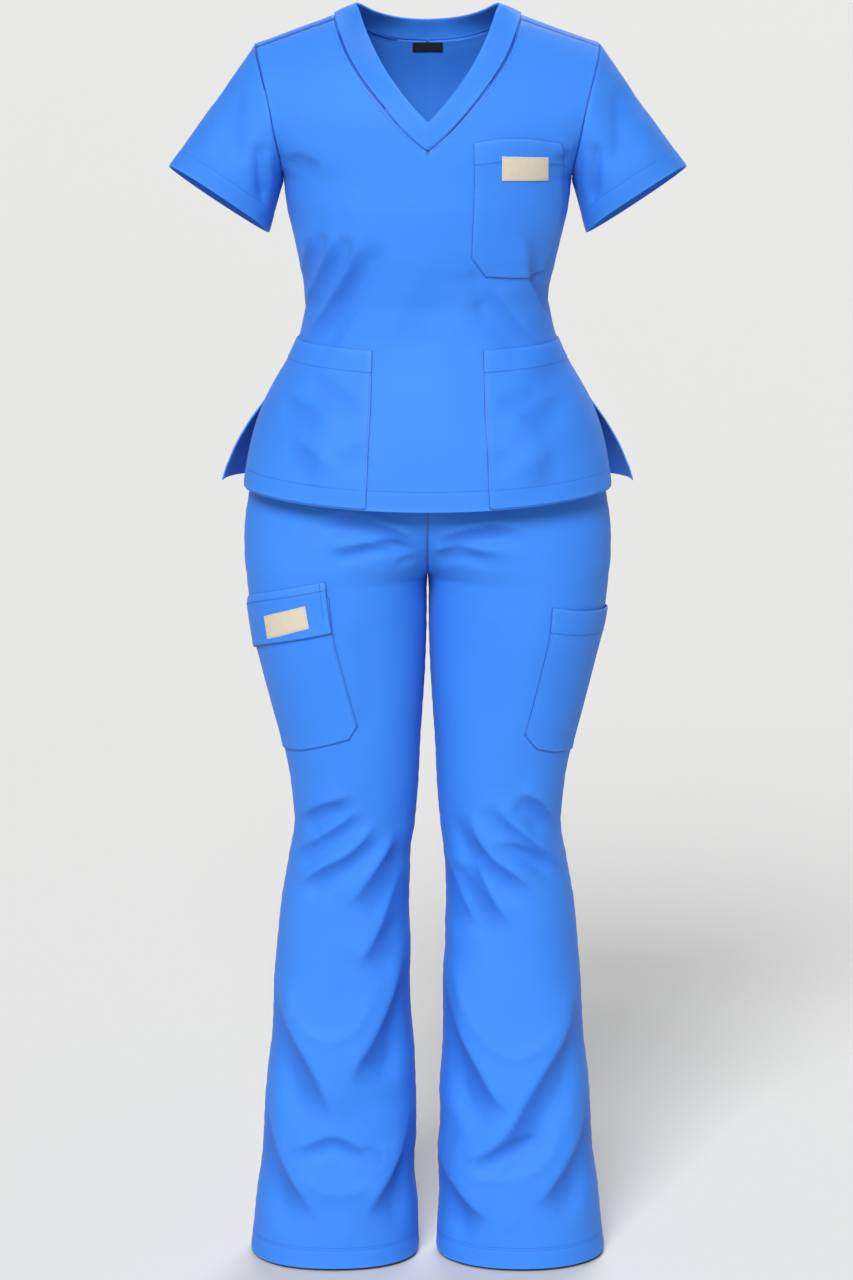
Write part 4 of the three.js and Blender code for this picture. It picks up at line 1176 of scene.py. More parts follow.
@dataclass
class Applique:
    """A piece sewn on a panel, laid out between four edges.

    Attributes:
        name: name of the object.
        node: the node that it stands for.
        top: upper edge, from left to right, as places on the laid-out panel.
        bottom: lower edge, from left to right.
        left: left edge, from the top down.
        right: right edge, from the top down.
        outer: distance of its outer side from the panel.
        thickness: its own thickness.
        inside: whether it lies on the inner side of the panel.
        cell: distance between its points.
    """

    name: str
    node: str
    top: Path
    bottom: Path
    left: Path
    right: Path
    outer: float = 1.75
    thickness: float = 1.1
    inside: bool = False
    cell: float = 4.4

    def places(self, u: Array, v: Array) -> Array:
        """Places on the laid-out panel for shares across and down."""
        u, v = np.asarray(u, float)[..., None], np.asarray(v, float)[..., None]
        across = mix(self.top.at(u[..., 0]), self.bottom.at(u[..., 0]), v)
        down = mix(self.left.at(v[..., 0]), self.right.at(v[..., 0]), u)
        upper = mix(self.top.at(0.0), self.top.at(1.0), u)
        lower = mix(self.bottom.at(0.0), self.bottom.at(1.0), u)
        return across + down - mix(upper, lower, v)

    def line(self, edge: str, inset: float) -> Path:
        """A path at a distance inside one of its edges or all three lower edges.

        Args:
            edge: "top", "left", "right", "bottom", or "sides" for the three that are sewn.
            inset: the distance.

        Returns:
            The path on the laid-out panel.
        """
        wide, high = (self.top.length + self.bottom.length) / 2, (self.left.length + self.right.length) / 2
        a, b = inset / wide, inset / high
        t = np.linspace(0, 1, 80)
        runs = {
            "top": [(t, b)],
            "bottom": [(t, 1 - b)],
            "left": [(a, t)],
            "right": [(1 - a, t)],
            "sides": [(a, t * (1 - b)), (a + t * (1 - 2 * a), 1 - b), (1 - a, (1 - b) * (1 - t))],
        }[edge]
        spots = [self.places(np.broadcast_to(u, t.shape), np.broadcast_to(v, t.shape)) for u, v in runs]
        return Path(np.concatenate(spots), soft=False)

    def layer(self, lay: Lay, extra_top: Sequence[float] = ()) -> Layer:
        """Lays the piece on its panel.

        Args:
            lay: the laid-out panel.
            extra_top: more distances from the top edge that get a row of points.

        Returns:
            The piece as a layer, with the distance to its sewn edges and to its top edge.
        """
        edge = (0.9, 2.2, 4.0)
        wide, high = (self.top.length + self.bottom.length) / 2, (self.left.length + self.right.length) / 2
        sides = self.left.corners(high) + self.right.corners(high)
        u = steps(wide, self.cell, (*edge, *self.bottom.corners(wide)), edge)
        v = steps(high, self.cell, (0.9, 2.2, *extra_top, *sides), edge)
        grid_u, grid_v = np.meshgrid(u, v)
        flats = self.places(grid_u, grid_v)
        # the shade painted on the panel under its folds goes on with the piece
        points, normals, shade = lay.all_at(flats.reshape(-1, 2))
        rows, columns = grid_u.shape
        ids = np.arange(rows * columns).reshape(rows, columns)
        faces = np.stack([ids[:-1, :-1], ids[1:, :-1], ids[1:, 1:], ids[:-1, 1:]], axis=-1).reshape(-1, 4)
        a, b, c, d = (points[faces[:, k]] for k in range(4))
        facing = np.sum(np.cross(c - a, d - b) * normals[faces[:, 0]]) * (-1 if self.inside else 1)
        if facing < 0:
            faces = faces[:, ::-1]
        if self.inside:
            normals = -normals
        spots = np.linspace(0, 1, 160)
        places = flats.reshape(-1, 2)
        sewn = nearest_of(places, np.concatenate([edge.at(spots) for edge in (self.left, self.bottom, self.right)]))
        return Layer(points, normals, faces, places[faces], places, sewn, nearest_of(places, self.top.at(spots)), shade)


def pocket_relief(layer: Layer, band: float) -> Array:
    """Outer relief of a patch pocket: its sewn edges go down to the panel, its top is turned in.

    Args:
        layer: the pocket.
        band: depth of the turned top.

    Returns:
        The relief of each point.
    """
    side, top = layer.seam, layer.free
    relief = -0.95 * bell(side, 1.1) + 0.3 * smooth((9 - side) / 2.5) - 0.32 * bell(side - 2.4, 1.3)
    relief += 0.38 * smooth((band - top) / 2.0) - 0.4 * bell(top - band + 1.8, 1.4) - 0.3 * bell(top, 1.0)
    gape = smooth(1 - top / 46) * smooth((side - 6) / 30)
    return relief + 1.1 * gape


class Torso:
    """Form of the body of the top: rounded oblong sections that swell below the shoulders."""

    tip = 187.6

    def __init__(self) -> None:
        """Reads the table of sections."""
        self.rows = Profile("half halfBack front back ventFront ventBack share", TORSO_ROWS)

    def half(self, face: Face, z: Any) -> Array:
        """Half width. The front and the back part only below the top of the vents."""
        wide = self.rows.at("half", z)
        if face is Face.FRONT:
            return wide
        return np.where(np.asarray(z) < VENT_Z, self.rows.at("halfBack", z), wide)

    def full(self, face: Face, z: Any) -> Array:
        """Half width of the whole oblong, of which the armhole cuts off the ends."""
        return self.half(face, z) / (1 - self.rows.at("share", z) ** ROUND) ** (1 / ROUND)

    def depth(self, face: Face, x: Any, z: Any) -> Array:
        """Depth in front of or behind the middle at places of the front view."""
        below = np.clip((ridge_z(x) - z) / SHOULDER_ROUND, 0, 1)
        swell = (1 - (1 - below) ** 2.2) ** 0.55
        across = np.clip(1 - np.minimum(1, np.abs(x) / self.full(face, z)) ** ROUND, 0, None) ** (1 / ROUND)
        start = self.rows.at("ventFront" if face is Face.FRONT else "ventBack", z)
        return start + (self.rows.at(face.value, z) - start) * swell * across

    def at(self, face: Face, x: Any, z: Any) -> Array:
        """Points at places of the front view."""
        x, z = np.broadcast_arrays(np.asarray(x, float), np.asarray(z, float))
        return np.stack([x, face.sign * self.depth(face, x, z), z], axis=-1)

    def arc(self, face: Face, x: Any, z: Any) -> Array:
        """Length round the section from the middle to a place."""
        x, z = np.broadcast_arrays(np.asarray(x, float), np.asarray(z, float))
        full = self.full(face, z)
        end = np.arcsin(np.clip(np.abs(x) / full, 0, 1) ** (ROUND / 2))
        angle = np.linspace(0, 1, 25).reshape(-1, *[1] * x.ndim) * end
        spots = full * np.sin(angle) ** (2 / ROUND)
        depths = self.depth(face, spots, np.broadcast_to(z, spots.shape))
        return np.sign(x) * np.hypot(np.diff(spots, axis=0), np.diff(depths, axis=0)).sum(axis=0)

    def sag(self, face: Face, x: Any, z: Any) -> Array:
        """How far the middle of the cloth hangs below the sides, growing to the hem."""
        dip = 11.0 if face is Face.FRONT else 4.0
        return dip * smooth((UNDERARM_Z - z) / (UNDERARM_Z - TOP_HEM_Z)) * (1 - (x / self.half(face, z)) ** 2)

    def flat(self, face: Face, places: Sequence[Place]) -> Array:
        """Places on the laid-out panel for places of the front view."""
        x, z = np.array(places, float).T
        level = z.copy()
        for _ in range(5):
            level = z + self.sag(face, x, level)
        return np.stack([self.arc(face, x, level), z], axis=-1)

    def side(self, face: Face, z: Any, inset: float) -> Array:
        """Places at a distance from the side edge of the laid-out panel."""
        z = np.asarray(z, float)
        return np.stack([self.arc(face, self.half(face, z), z) - inset, z], axis=-1)


@dataclass
class Top:
    """The V-neck top: front, back, two sleeves, neckband and label.

    Attributes:
        hem: depth of the hem at the bottom.
        vent_hem: depth of the turned edge along the vents.
        sleeve_hem: depth of the hem of the sleeves.
        cuff_x: distance of the middle of a cuff from the middle of the garment.
        cuff_z: height of the middle of a cuff.
        cuff_out: direction from the inner to the outer corner of a cuff.
        cuff_half: half the width of a cuff.
        cuff_depth: half the depth of a cuff.
        cuff_slant: how much lower the back edge of a cuff hangs.
    """

    hem: float = 24.0
    vent_hem: float = 9.5
    sleeve_hem: float = 23.0
    cuff_x: float = 229.5
    cuff_z: float = -189.5
    cuff_out: tuple[float, float] = (0.833, 0.553)
    cuff_half: float = 66.0
    cuff_depth: float = 57.0
    cuff_slant: float = 9.0
    torso: Torso = field(default_factory=Torso)

    armhole = (-168, -158, -146, -132, -117, -101, -85, -69, -54, -40, -29)
    neck_front = ((0, -127), (28, -104), (50, -80), (72, -53), (88, -28), (97, -7), (NECK_HALF, RIDGE_Z - SEAM_DROP))
    edge_front = ((0, -98), (16, -81), (29, -66), (43.5, -48), (61, -20), (72, 4), (77, 20))
    neck_back = ((0, -20), (29, -18), (51, -13), (74, -4), (94, 6.5), (NECK_HALF, RIDGE_Z))
    edge_back = ((0, 2.5), (23, 4), (41, 7), (60, 13.5), (72, 20.5), (77, 22.5))
    depth_back = ((0, 66), (23, 64), (41, 56), (60, 41), (72, 20), (77, 5))
    first = {Face.FRONT: 2, Face.BACK: 6}

    def __post_init__(self) -> None:
        """Lays out the grids and joins them."""
        self.columns = steps(216, CELL, (1.6, 4.2), (1.6, 4.2))
        self.seam = {Face.FRONT: Path(self.neck_front), Face.BACK: Path(self.neck_back)}
        self.edge = {Face.FRONT: Path(self.edge_front), Face.BACK: Path(self.edge_back)}
        self.edge_depth = Path(self.depth_back)
        rows = np.unique(np.round([*np.linspace(0, 11, 34), 2.1, 6.12, 10.72, 10.9], 6))
        self.rows = {Face.FRONT: rows, Face.BACK: np.array([*rows, 11.5, 12.0])}
        self.cloth = Cloth()
        for face in Face:
            turned = face is Face.BACK
            self.cloth.add(f"top_{face.value}", *self.lower(face), turned)
            for side in Side:
                points, flats = self.upper(face, side)
                self.cloth.add(f"top_{face.value}", points[::-1], flats[::-1], turned ^ (side is Side.RIGHT))
        for side in Side:
            self.cloth.add(f"sleeve_{side.value}", *self.sleeve(side), side is Side.LEFT)
        self.cloth.add("neckband", *self.band())
        self.cloth.join()
        self.cloth.fold(self.rise)
        self.lay = {face: Lay(self.cloth, [f"top_{face.value}"]) for face in Face}

    def rise(self, points: Array) -> Array:
        """Height of all the folds at points of the top, and the shade painted there."""
        x, y, z = points.T
        body = 1 - smooth((np.abs(x) - 165) / 25)
        sides = []
        for face in Face:
            folds = fold_rise(TOP_FOLDS, face, x, z) * body + fold_rise(SLEEVE_FOLDS, face, x, z)
            folds[0] += unevenness(x, z, face) * smooth((20 - z) / 60)
            sides.append(folds)
        return mix(sides[0], sides[1], smooth(y / 35))

    def lower(self, face: Face) -> tuple[Array, Array]:
        """Points of a panel below the underarm, side to side."""
        to_vent, to_hem = UNDERARM_Z - VENT_Z, VENT_Z - TOP_HEM_Z
        heights = UNDERARM_Z - to_vent * steps(to_vent)
        far = (1.3, 3.4, self.hem - 3.6, self.hem - 2.2, self.hem - 0.8, self.hem + 1.5)
        heights = np.unique(np.concatenate([heights, VENT_Z - to_hem * steps(to_hem, CELL, (), far)]))[::-1]
        share = np.concatenate([-self.columns[:0:-1], self.columns])
        across = np.sign(share) * np.sin(np.abs(share) * QUARTER) ** (2 / ROUND)
        z = heights[:, None] * np.ones_like(across)
        x = self.torso.half(face, z) * across
        points = self.torso.at(face, x, z)
        points[..., 2] -= self.torso.sag(face, x, z)
        return points, np.stack([self.torso.arc(face, x, z), points[..., 2]], axis=-1)

    def neck(self, face: Face, row: Array) -> Array:
        """Inner ends of the upper rows: up the middle, then along the neck seam."""
        first = self.first[face]
        low = self.seam[face].at(0.0)[1]
        ends = self.seam[face].at(np.clip((row - first) / (11 - first), 0, 1))
        middle = np.stack([np.zeros_like(row), mix(UNDERARM_Z, low, np.minimum(row / first, 1))], axis=-1)
        return np.where((row < first)[:, None], middle, ends)

    def upper(self, face: Face, side: Side) -> tuple[Array, Array]:
        """Points of one half of a panel from the underarm to the shoulder."""
        rows = self.rows[face]
        row = np.minimum(rows, 11)
        inner = self.neck(face, row)
        drop = SEAM_DROP if face is Face.FRONT else 0.0
        heights = [*self.armhole, float(ridge_z(self.torso.tip)) - drop]
        z = np.interp(row, range(12), heights)
        shoulder = mix(self.torso.rows.at("half", heights[10]), self.torso.tip, row - 10)
        x = np.where(row <= 10, self.torso.rows.at("half", z), shoulder)
        outer = np.stack([x, z], axis=-1)
        across = np.sin(self.columns * QUARTER)[None, :, None] ** (2 / ROUND)
        places = mix(inner[:, None], outer[:, None], across)
        beyond = np.maximum(rows - 11, 0)[:, None]
        x, z = places[..., 0], places[..., 1]
        points = self.torso.at(face, x, z)
        past = self.torso.at(Face.FRONT, x, z - beyond * SEAM_DROP)
        points = np.where(beyond[..., None] > 0, past, points)
        flats = np.stack([side.sign * self.torso.arc(face, x, z), z + beyond * SEAM_DROP], axis=-1)
        points[..., 0] *= side.sign
        return points, flats

    def sleeve(self, side: Side) -> tuple[Array, Array]:
        """Points of a sleeve from the armhole to the cuff, once round from the shoulder."""
        front, back = (self.upper(face, side)[0][:, -1] for face in Face)
        ring = np.concatenate([front[::-1], back[1:-1]])
        pitch = np.linalg.norm(np.roll(ring, -1, axis=0) - ring, axis=1)
        run = np.concatenate([[0.0], np.cumsum(pitch)])
        whole, low = run[-1], run[len(front) - 1] / run[-1]
        share = run[:-1] / whole
        angle = np.where(share < low, share / low * math.pi, math.pi + (share - low) / (1 - low) * math.pi)
        across = self.cuff_half * np.cos(angle)
        deep = np.sign(np.sin(angle)) * np.abs(np.sin(angle)) ** 0.95
        out_x, out_z = self.cuff_out
        cuff_x = side.sign * (self.cuff_x + across * out_x)
        target = np.stack([cuff_x, -self.cuff_depth * deep, self.cuff_z + across * out_z], axis=-1)
        target -= np.array([out_z * side.sign, 0, -out_x]) * (self.cuff_slant * deep)[:, None]
        length = np.linalg.norm(target - ring, axis=1)
        hem = self.sleeve_hem
        down = steps(float(length.mean()), CELL, (1.6, 4.2), (1.3, 3.4, hem - 3.6, hem - 2.2, hem - 0.8, hem + 1.5))
        points = mix(ring[None], target[None], down[:, None, None])
        points[..., 1] -= 5 * np.sin(math.pi * down)[:, None] * np.sin(share * 2 * math.pi)[None]
        points = np.concatenate([points, points[:, :1]], axis=1)
        length = np.append(length, length[0])
        return points, np.stack(np.broadcast_arrays(run[None], -down[:, None] * length[None]), axis=-1)

    def band(self) -> tuple[Array, Array]:
        """Points of the neckband from the neck seam to its finished edge, once round from the V."""
        seam, edge = [], []
        for row in self.rows[Face.FRONT][self.rows[Face.FRONT] >= 2]:
            share = (row - 2) / 9
            seam.append(self.torso.at(Face.FRONT, *self.seam[Face.FRONT].at(share)))
            x, z = self.edge[Face.FRONT].at(share)
            near = smooth((z + 98) / 119) ** 1.6
            edge.append([x, -mix(float(self.torso.depth(Face.FRONT, x, min(z, -60))), 6, near), z])
        for row in self.rows[Face.BACK][self.rows[Face.BACK] >= 6][-2::-1]:
            share = min(1.0, (row - 6) / 5)
            x, z = self.seam[Face.BACK].at(share)
            face = Face.FRONT if row > 11 else Face.BACK
            seam.append(self.torso.at(face, x, z - max(0.0, row - 11) * SEAM_DROP))
            x, z = self.edge[Face.BACK].at(share)
            edge.append([x, self.edge_depth.at(share)[1], z])
        seam, edge = (self._mirrored(np.array(half)) for half in (seam, edge))
        down = steps(27, 3.2, (1.4,), (1.1, 2.6))
        points = mix(seam[None], edge[None], down[:, None, None])
        out = np.stack([seam[:, 0], seam[:, 1], np.full(len(seam), 30.0)], axis=-1)
        out /= np.linalg.norm(out, axis=1, keepdims=True)
        swell = 1.2 * np.sin(math.pi * np.minimum(down, 0.98)) * (down > 0)
        points += out[None] * swell[:, None, None]
        run = np.concatenate([[0.0], np.cumsum(np.linalg.norm(np.diff(seam, axis=0), axis=1))])
        return points, np.stack(np.broadcast_arrays(run[None], 27 * down[:, None]), axis=-1)

    @staticmethod
    def _mirrored(half: Array) -> Array:
        """A closed ring from its half on one side of the middle."""
        other = half[1:-1][::-1] * [-1, 1, 1]
        return np.concatenate([half, other, half[:1]])

    def edges(self, face: Face, layer: Layer) -> tuple[Array, Array]:
        """Distance of the points of a panel to its bottom and to its vents."""
        x, _, z = layer.points.T
        level = np.minimum(z, VENT_Z - 0.5)
        low = TOP_HEM_Z - self.torso.sag(face, x, np.full_like(x, TOP_HEM_Z))
        side = self.torso.arc(face, self.torso.half(face, level), level) - np.abs(layer.flats[:, 0])
        return np.maximum(z - low, 0), np.where(z < VENT_Z + 2, np.maximum(side, 0), 1e3)

    def dress(self, finishes: Finishes, needle: Needle) -> None:
        """Makes the panels, sleeves and neckband, and sews them.

        Args:
            finishes: the materials.
            needle: what sews the thread.
        """
        body = ["top_front", "top_back", "neckband"]
        cuts = {
            "top_front": Cut(0.56, 0.57, 0.2420, ("neckband",)),
            "top_back": Cut(0.60, 0.58, 0.2560, ("neckband",)),
            "sleeve": Cut(0.45, 0.20, 0.0540, ("top_front", "top_back")),
            "neckband": Cut(0.73, 0.04, 0.0240, ("top_back",)),
        }
        for face in Face:
            name = f"top_{face.value}"
            layer = self.cloth.layer(name, body)
            bottom, vent = self.edges(face, layer)
            relief = seam_relief(layer.seam, layer.points[:, 2] + layer.points[:, 0], 0.0 if face is Face.FRONT else 0.3)
            relief += hem_relief(bottom, self.hem) + hem_relief(vent, self.vent_hem)
            made = shell(f"{name}_panel", layer, relief, press=pressed(layer.seam, layer.free))
            declare(made, name, finishes.cloth, cuts[name])
        for side in Side:
            name = f"sleeve_{side.value}"
            layer = self.cloth.layer(name, [name])
            relief = seam_relief(layer.seam, layer.flats[:, 0], 0.25) + hem_relief(layer.free, self.sleeve_hem)
            made = shell(f"{name}_tube", layer, relief, press=pressed(layer.seam, layer.free))
            declare(made, name, finishes.cloth, cuts["sleeve"])
        layer = self.cloth.layer("neckband", body)
        relief = 0.5 * seam_relief(layer.seam, layer.flats[:, 0], 0.0) - 0.4 * bell(layer.free, 1.2)
        mitre = (layer.points[:, 1] < 0) & (np.abs(layer.points[:, 0]) < 0.4)
        relief -= 0.3 * mitre
        made = shell("neckband_double", layer, relief, 2.2, pressed(layer.seam, layer.free))
        declare(made, "neckband", finishes.cloth, cuts["neckband"])
        self.sew(needle)

    def sew(self, needle: Needle) -> None:
        """Sews the neck, the hems, the vents and the cuffs."""
        for face in Face:
            knots = self.seam[face].at(np.linspace(0.03, 0.97, 60))
            turn = np.gradient(knots, axis=0)
            turn /= np.linalg.norm(turn, axis=1, keepdims=True)
            outside = knots + np.stack([turn[:, 1], -turn[:, 0]], axis=-1) * 3.2
            outside[:, 0] = np.maximum(outside[:, 0], 0.4)
            flats = self.torso.flat(face, outside)
            needle.run(Path(flats, soft=False), self.lay[face], 0.0)
            needle.run(Path(flats * [-1, 1], soft=False), self.lay[face], 0.0)
        band = Lay(self.cloth, ["neckband"])
        whole = float(self.band()[1][0, -1, 0])
        for start, end in ((1.2, 15.0), (whole - 1.2, whole - 15.0)):
            needle.run(Path([[start, 25.5], [end, 1.6]], False), band, 0.2)
        line = self.hem - 2.2
        for face in Face:
            far = float(self.torso.half(face, TOP_HEM_Z)) * 0.975
            start = 66.0 if face is Face.FRONT else far
            x = np.linspace(-start, start, 90)
            z = TOP_HEM_Z - self.torso.sag(face, x, np.full_like(x, TOP_HEM_Z)) + line
            needle.run(Path(self.torso.flat(face, np.stack([x, z], axis=-1)), soft=False), self.lay[face], 0.05)
            heights = np.linspace(VENT_Z - 2, TOP_HEM_Z + 4, 30)
            run = self.torso.side(face, heights, self.vent_hem - 1.5)
            lift = 1.9 if face is Face.FRONT else 0.05
            needle.run(Path(run, soft=False), self.lay[face], lift)
            needle.run(Path(run * [-1, 1], soft=False), self.lay[face], lift)
        for side in Side:
            lay = Lay(self.cloth, [f"sleeve_{side.value}"])
            _, flats = self.sleeve(side)
            ends = flats[-1] + np.array([0, self.sleeve_hem - 2.2])
            needle.run(Path(ends, soft=False), lay, 0.05)

    def hem_path(self, face: Face, start: float, end: float, above: float) -> Path:
        """A path at a distance above the bottom edge, between two places across."""
        x = np.linspace(start, end, 40)
        z = TOP_HEM_Z - self.torso.sag(face, x, np.full_like(x, TOP_HEM_Z)) + above
        return Path(self.torso.flat(face, np.stack([x, z], axis=-1)), soft=False)


@dataclass
class TopPockets:
    """What is sewn on the top: the chest pocket, the two waist pockets, the patch and the label.

    Attributes:
        top: the top that they lie on.
        chest_band: depth of the turned top of the chest pocket.
        waist_band: depth of the turned top of a waist pocket.
        row: distance of the stitches from a sewn edge.
    """

    top: Top
    chest_band: float = 27.0
    waist_band: float = 25.5
    row: float = 2.4

    def chest(self) -> Applique:
        """The chest pocket, its outer edge near the armhole and its lower corners cut off."""
        flat = self.top.torso.flat
        return Applique(
            "chest_pocket_patch",
            "chest_pocket",
            top=Path(flat(Face.FRONT, [(49, -120), (78, -115.5), (106, -116), (144, -122)]), soft=False),
            bottom=Path(flat(Face.FRONT, [(63, -265), (86, -266.5), (108, -267)]), soft=False),
            left=Path(flat(Face.FRONT, [(49, -120), (50, -164), (47, -243), (63, -265)]), soft=False),
            right=Path(flat(Face.FRONT, [(144, -122), (148, -150), (147, -193), (140, -220), (127, -263), (108, -267)]), soft=False),
        )

    def waist(self, side: Side) -> Applique:
        """A waist pocket, which runs from beside the middle to the side seam and down to the hem."""
        torso = self.top.torso
        outer = torso.side(Face.FRONT, np.linspace(-341, TOP_HEM_Z + 1.2, 40), 1.6)
        upper = np.concatenate([torso.flat(Face.FRONT, [(60, -345), (80, -344.5), (104, -344), (124, -343)]), outer[:1]])
        inner = torso.flat(Face.FRONT, [(60, -345), (61.5, -409), (64.5, -460), (66.5, -511.6)])
        x = np.linspace(66.5, float(torso.half(Face.FRONT, TOP_HEM_Z)) - 0.4, 30)
        z = TOP_HEM_Z - torso.sag(Face.FRONT, x, np.full_like(x, TOP_HEM_Z)) + 1.2
        lower = torso.flat(Face.FRONT, np.stack([x, z], axis=-1))
        lower[0], lower[-1] = inner[-1], outer[-1]
        if side is Side.RIGHT:
            flip = np.array([-1, 1])
            return Applique(
                "waist_pocket_right_patch", "waist_pocket_right",
                Path(upper[::-1] * flip, False), Path(lower[::-1] * flip, False), Path(outer * flip, False), Path(inner * flip, False),
            )
        return Applique(
            "waist_pocket_left_patch", "waist_pocket_left",
            Path(upper, False), Path(lower, False), Path(inner, False), Path(outer, False),
        )

    def dress(self, finishes: Finishes, needle: Needle, cream: Needle) -> None:
        """Makes the pockets, the patch and the label, and sews them on.

        Args:
            finishes: the materials.
            needle: what sews the azure thread.
            cream: what sews the cream thread.
        """
        lay = self.top.lay[Face.FRONT]
        chest = self.chest()
        layer = chest.layer(lay, (self.chest_band - 3.2, self.chest_band - 1.8, self.chest_band - 0.4))
        relief = chest.outer + pocket_relief(layer, self.chest_band)
        made = shell(chest.name, layer, relief, chest.thickness, pressed(layer.seam, layer.free))
        declare(made, chest.node, finishes.cloth, Cut(0.145, 0.19, 0.0205, ("top_front",), "laid"))
        needle.run(chest.line("sides", self.row), lay, chest.outer)
        needle.run(chest.line("top", self.chest_band - 1.8), lay, chest.outer + 0.8)
        for side in Side:
            pocket = self.waist(side)
            layer = pocket.layer(lay, (self.waist_band - 3.2, self.waist_band - 1.8, self.waist_band - 0.4))
            relief = pocket.outer + pocket_relief(layer, self.waist_band)
            bottom = nearest_of(layer.flats, pocket.bottom.at(np.linspace(0, 1, 120)))
            relief += 0.5 * (hem_relief(bottom, self.top.hem) + 0.3 * bell(bottom, 1.2))
            made = shell(pocket.name, layer, relief, pocket.thickness, pressed(layer.seam, layer.free))
            declare(made, pocket.node, finishes.cloth, Cut(0.22, 0.21, 0.0385, ("top_front",), "laid"))
            needle.run(pocket.line("left" if side is Side.LEFT else "right", self.row), lay, pocket.outer)
            needle.run(pocket.line("top", self.waist_band - 1.8), lay, pocket.outer + 0.9)
            ends = (69.0, 196.0) if side is Side.LEFT else (-196.0, -69.0)
            needle.run(self.top.hem_path(Face.FRONT, *ends, self.top.hem - 2.2), lay, pocket.outer + 0.1)
        self.patch(finishes, cream)
        self.label(finishes)

    def patch(self, finishes: Finishes, cream: Needle) -> None:
        """The bare woven patch on the chest pocket."""
        corners = self.top.torso.flat(Face.FRONT, [(79, -134), (129, -136), (129, -162), (79, -160)])
        shape, layer = bare_patch("chest_patch_woven", "chest_patch", corners, self.top.lay[Face.FRONT], 3.1)
        relief = shape.outer - 0.35 * bell(np.minimum(layer.seam, layer.free), 0.9)
        made = shell(shape.name, layer, relief, shape.thickness)
        declare(made, shape.node, finishes.patch, Cut(0.060, 0.029, 0.00165, ("chest_pocket",), "laid"))
        border(shape, cream, self.top.lay[Face.FRONT])

    def label(self, finishes: Finishes) -> None:
        """The bare black label inside the back of the neck."""
        flat = self.top.torso.flat(Face.BACK, [(-17, -21.5), (17, -21.5), (17, -32), (-17, -32)])
        shape = Applique(
            "neck_label_woven", "neck_label",
            Path(flat[:2], False), Path(flat[[3, 2]], False), Path(flat[[0, 3]], False), Path(flat[[1, 2]], False),
            outer=2.6, thickness=0.8, inside=True, cell=2.4,
        )
        layer = shape.layer(self.top.lay[Face.BACK])
        made = shell(shape.name, layer, shape.outer - 0.2 * bell(layer.seam, 0.9), shape.thickness)
        declare(made, shape.node, finishes.label, Cut(0.036, 0.0125, 0.00044, ("top_back",), "laid"))


def bare_patch(name: str, node: str, corners: Array, lay: Lay, outer: float) -> tuple[Applique, Layer]:
    """A plain rectangular patch from its corners, clockwise from the top left.

    Args:
        name: name of its object.
        node: the node that it stands for.
        corners: its corners on the laid-out panel.
        lay: the laid-out panel.
        outer: distance of its outer side from the panel.

    Returns:
        The piece and its layer.
    """
    shape = Applique(
        name, node,
        Path(corners[:2], False), Path(corners[[3, 2]], False), Path(corners[[0, 3]], False), Path(corners[[1, 2]], False),
        outer=outer, thickness=0.8, cell=2.6,
    )
    return shape, shape.layer(lay)


def border(shape: Applique, cream: Needle, lay: Lay) -> None:
    """Sews a patch down along its four edges."""
    for edge in ("sides", "top"):
        cream.run(shape.line(edge, 1.7), lay, shape.outer, 2.6)


class LegForm:
    """Form of the trousers: one rounded body that splits into two legs at the crotch."""

    def __init__(self) -> None:
        """Reads the table of sections."""
        self.rows = Profile("out in split front back", LEG_ROWS)

    def at(self, face: Face, side: Side, z: Array, t: Array) -> Array:
        """Points of a leg panel.

        Args:
            face: the side that the panel lies on.
            side: the leg.
            z: heights.
            t: shares of the way from the inseam or the middle to the side seam.

        Returns:
            The points, rows by columns.
        """
        z, t = np.meshgrid(z, t, indexing="ij")
        above = z >= CROTCH_Z
        out = self.rows.at("out", z)
        near = np.where(above, 0, self.rows.at("in", z))
        split = np.where(above, self.rows.at("split", z), 1)
        half = np.where(above, out / (1 + split), (out - near) / 2)
        start = -np.arcsin(np.clip(split ** (ROUND / 2), 0, 1))
        angle = mix(start, QUARTER, t)
        x = out - half + half * np.sign(np.sin(angle)) * np.abs(np.sin(angle)) ** (2 / ROUND)
        deep = np.maximum(0, np.cos(angle)) ** (2 / ROUND) * self.rows.at(face.value, z)
        x = np.where((t == 0) & above, 0, x)
        deep = np.where((t == 1) | ((t == 0) & (z <= CROTCH_Z)), 0, deep)
        return np.stack([side.sign * x, face.sign * deep, z], axis=-1)

    def round_leg(self, x: float, z: float) -> float:
        """How far round the leg from the side seam a place of the front view lies."""
        points = self.at(Face.FRONT, Side.LEFT, np.array([z]), np.linspace(1, 0, 241))[0]
        run = np.concatenate([[0.0], np.cumsum(np.linalg.norm(np.diff(points, axis=0), axis=1))])
        return float(np.interp(-abs(x), -points[:, 0], run))

    def flat(self, places: Sequence[Place]) -> Array:
        """Places on the laid-out leg for places of the front view."""
        return np.array([[self.round_leg(x, z), z] for x, z in places])


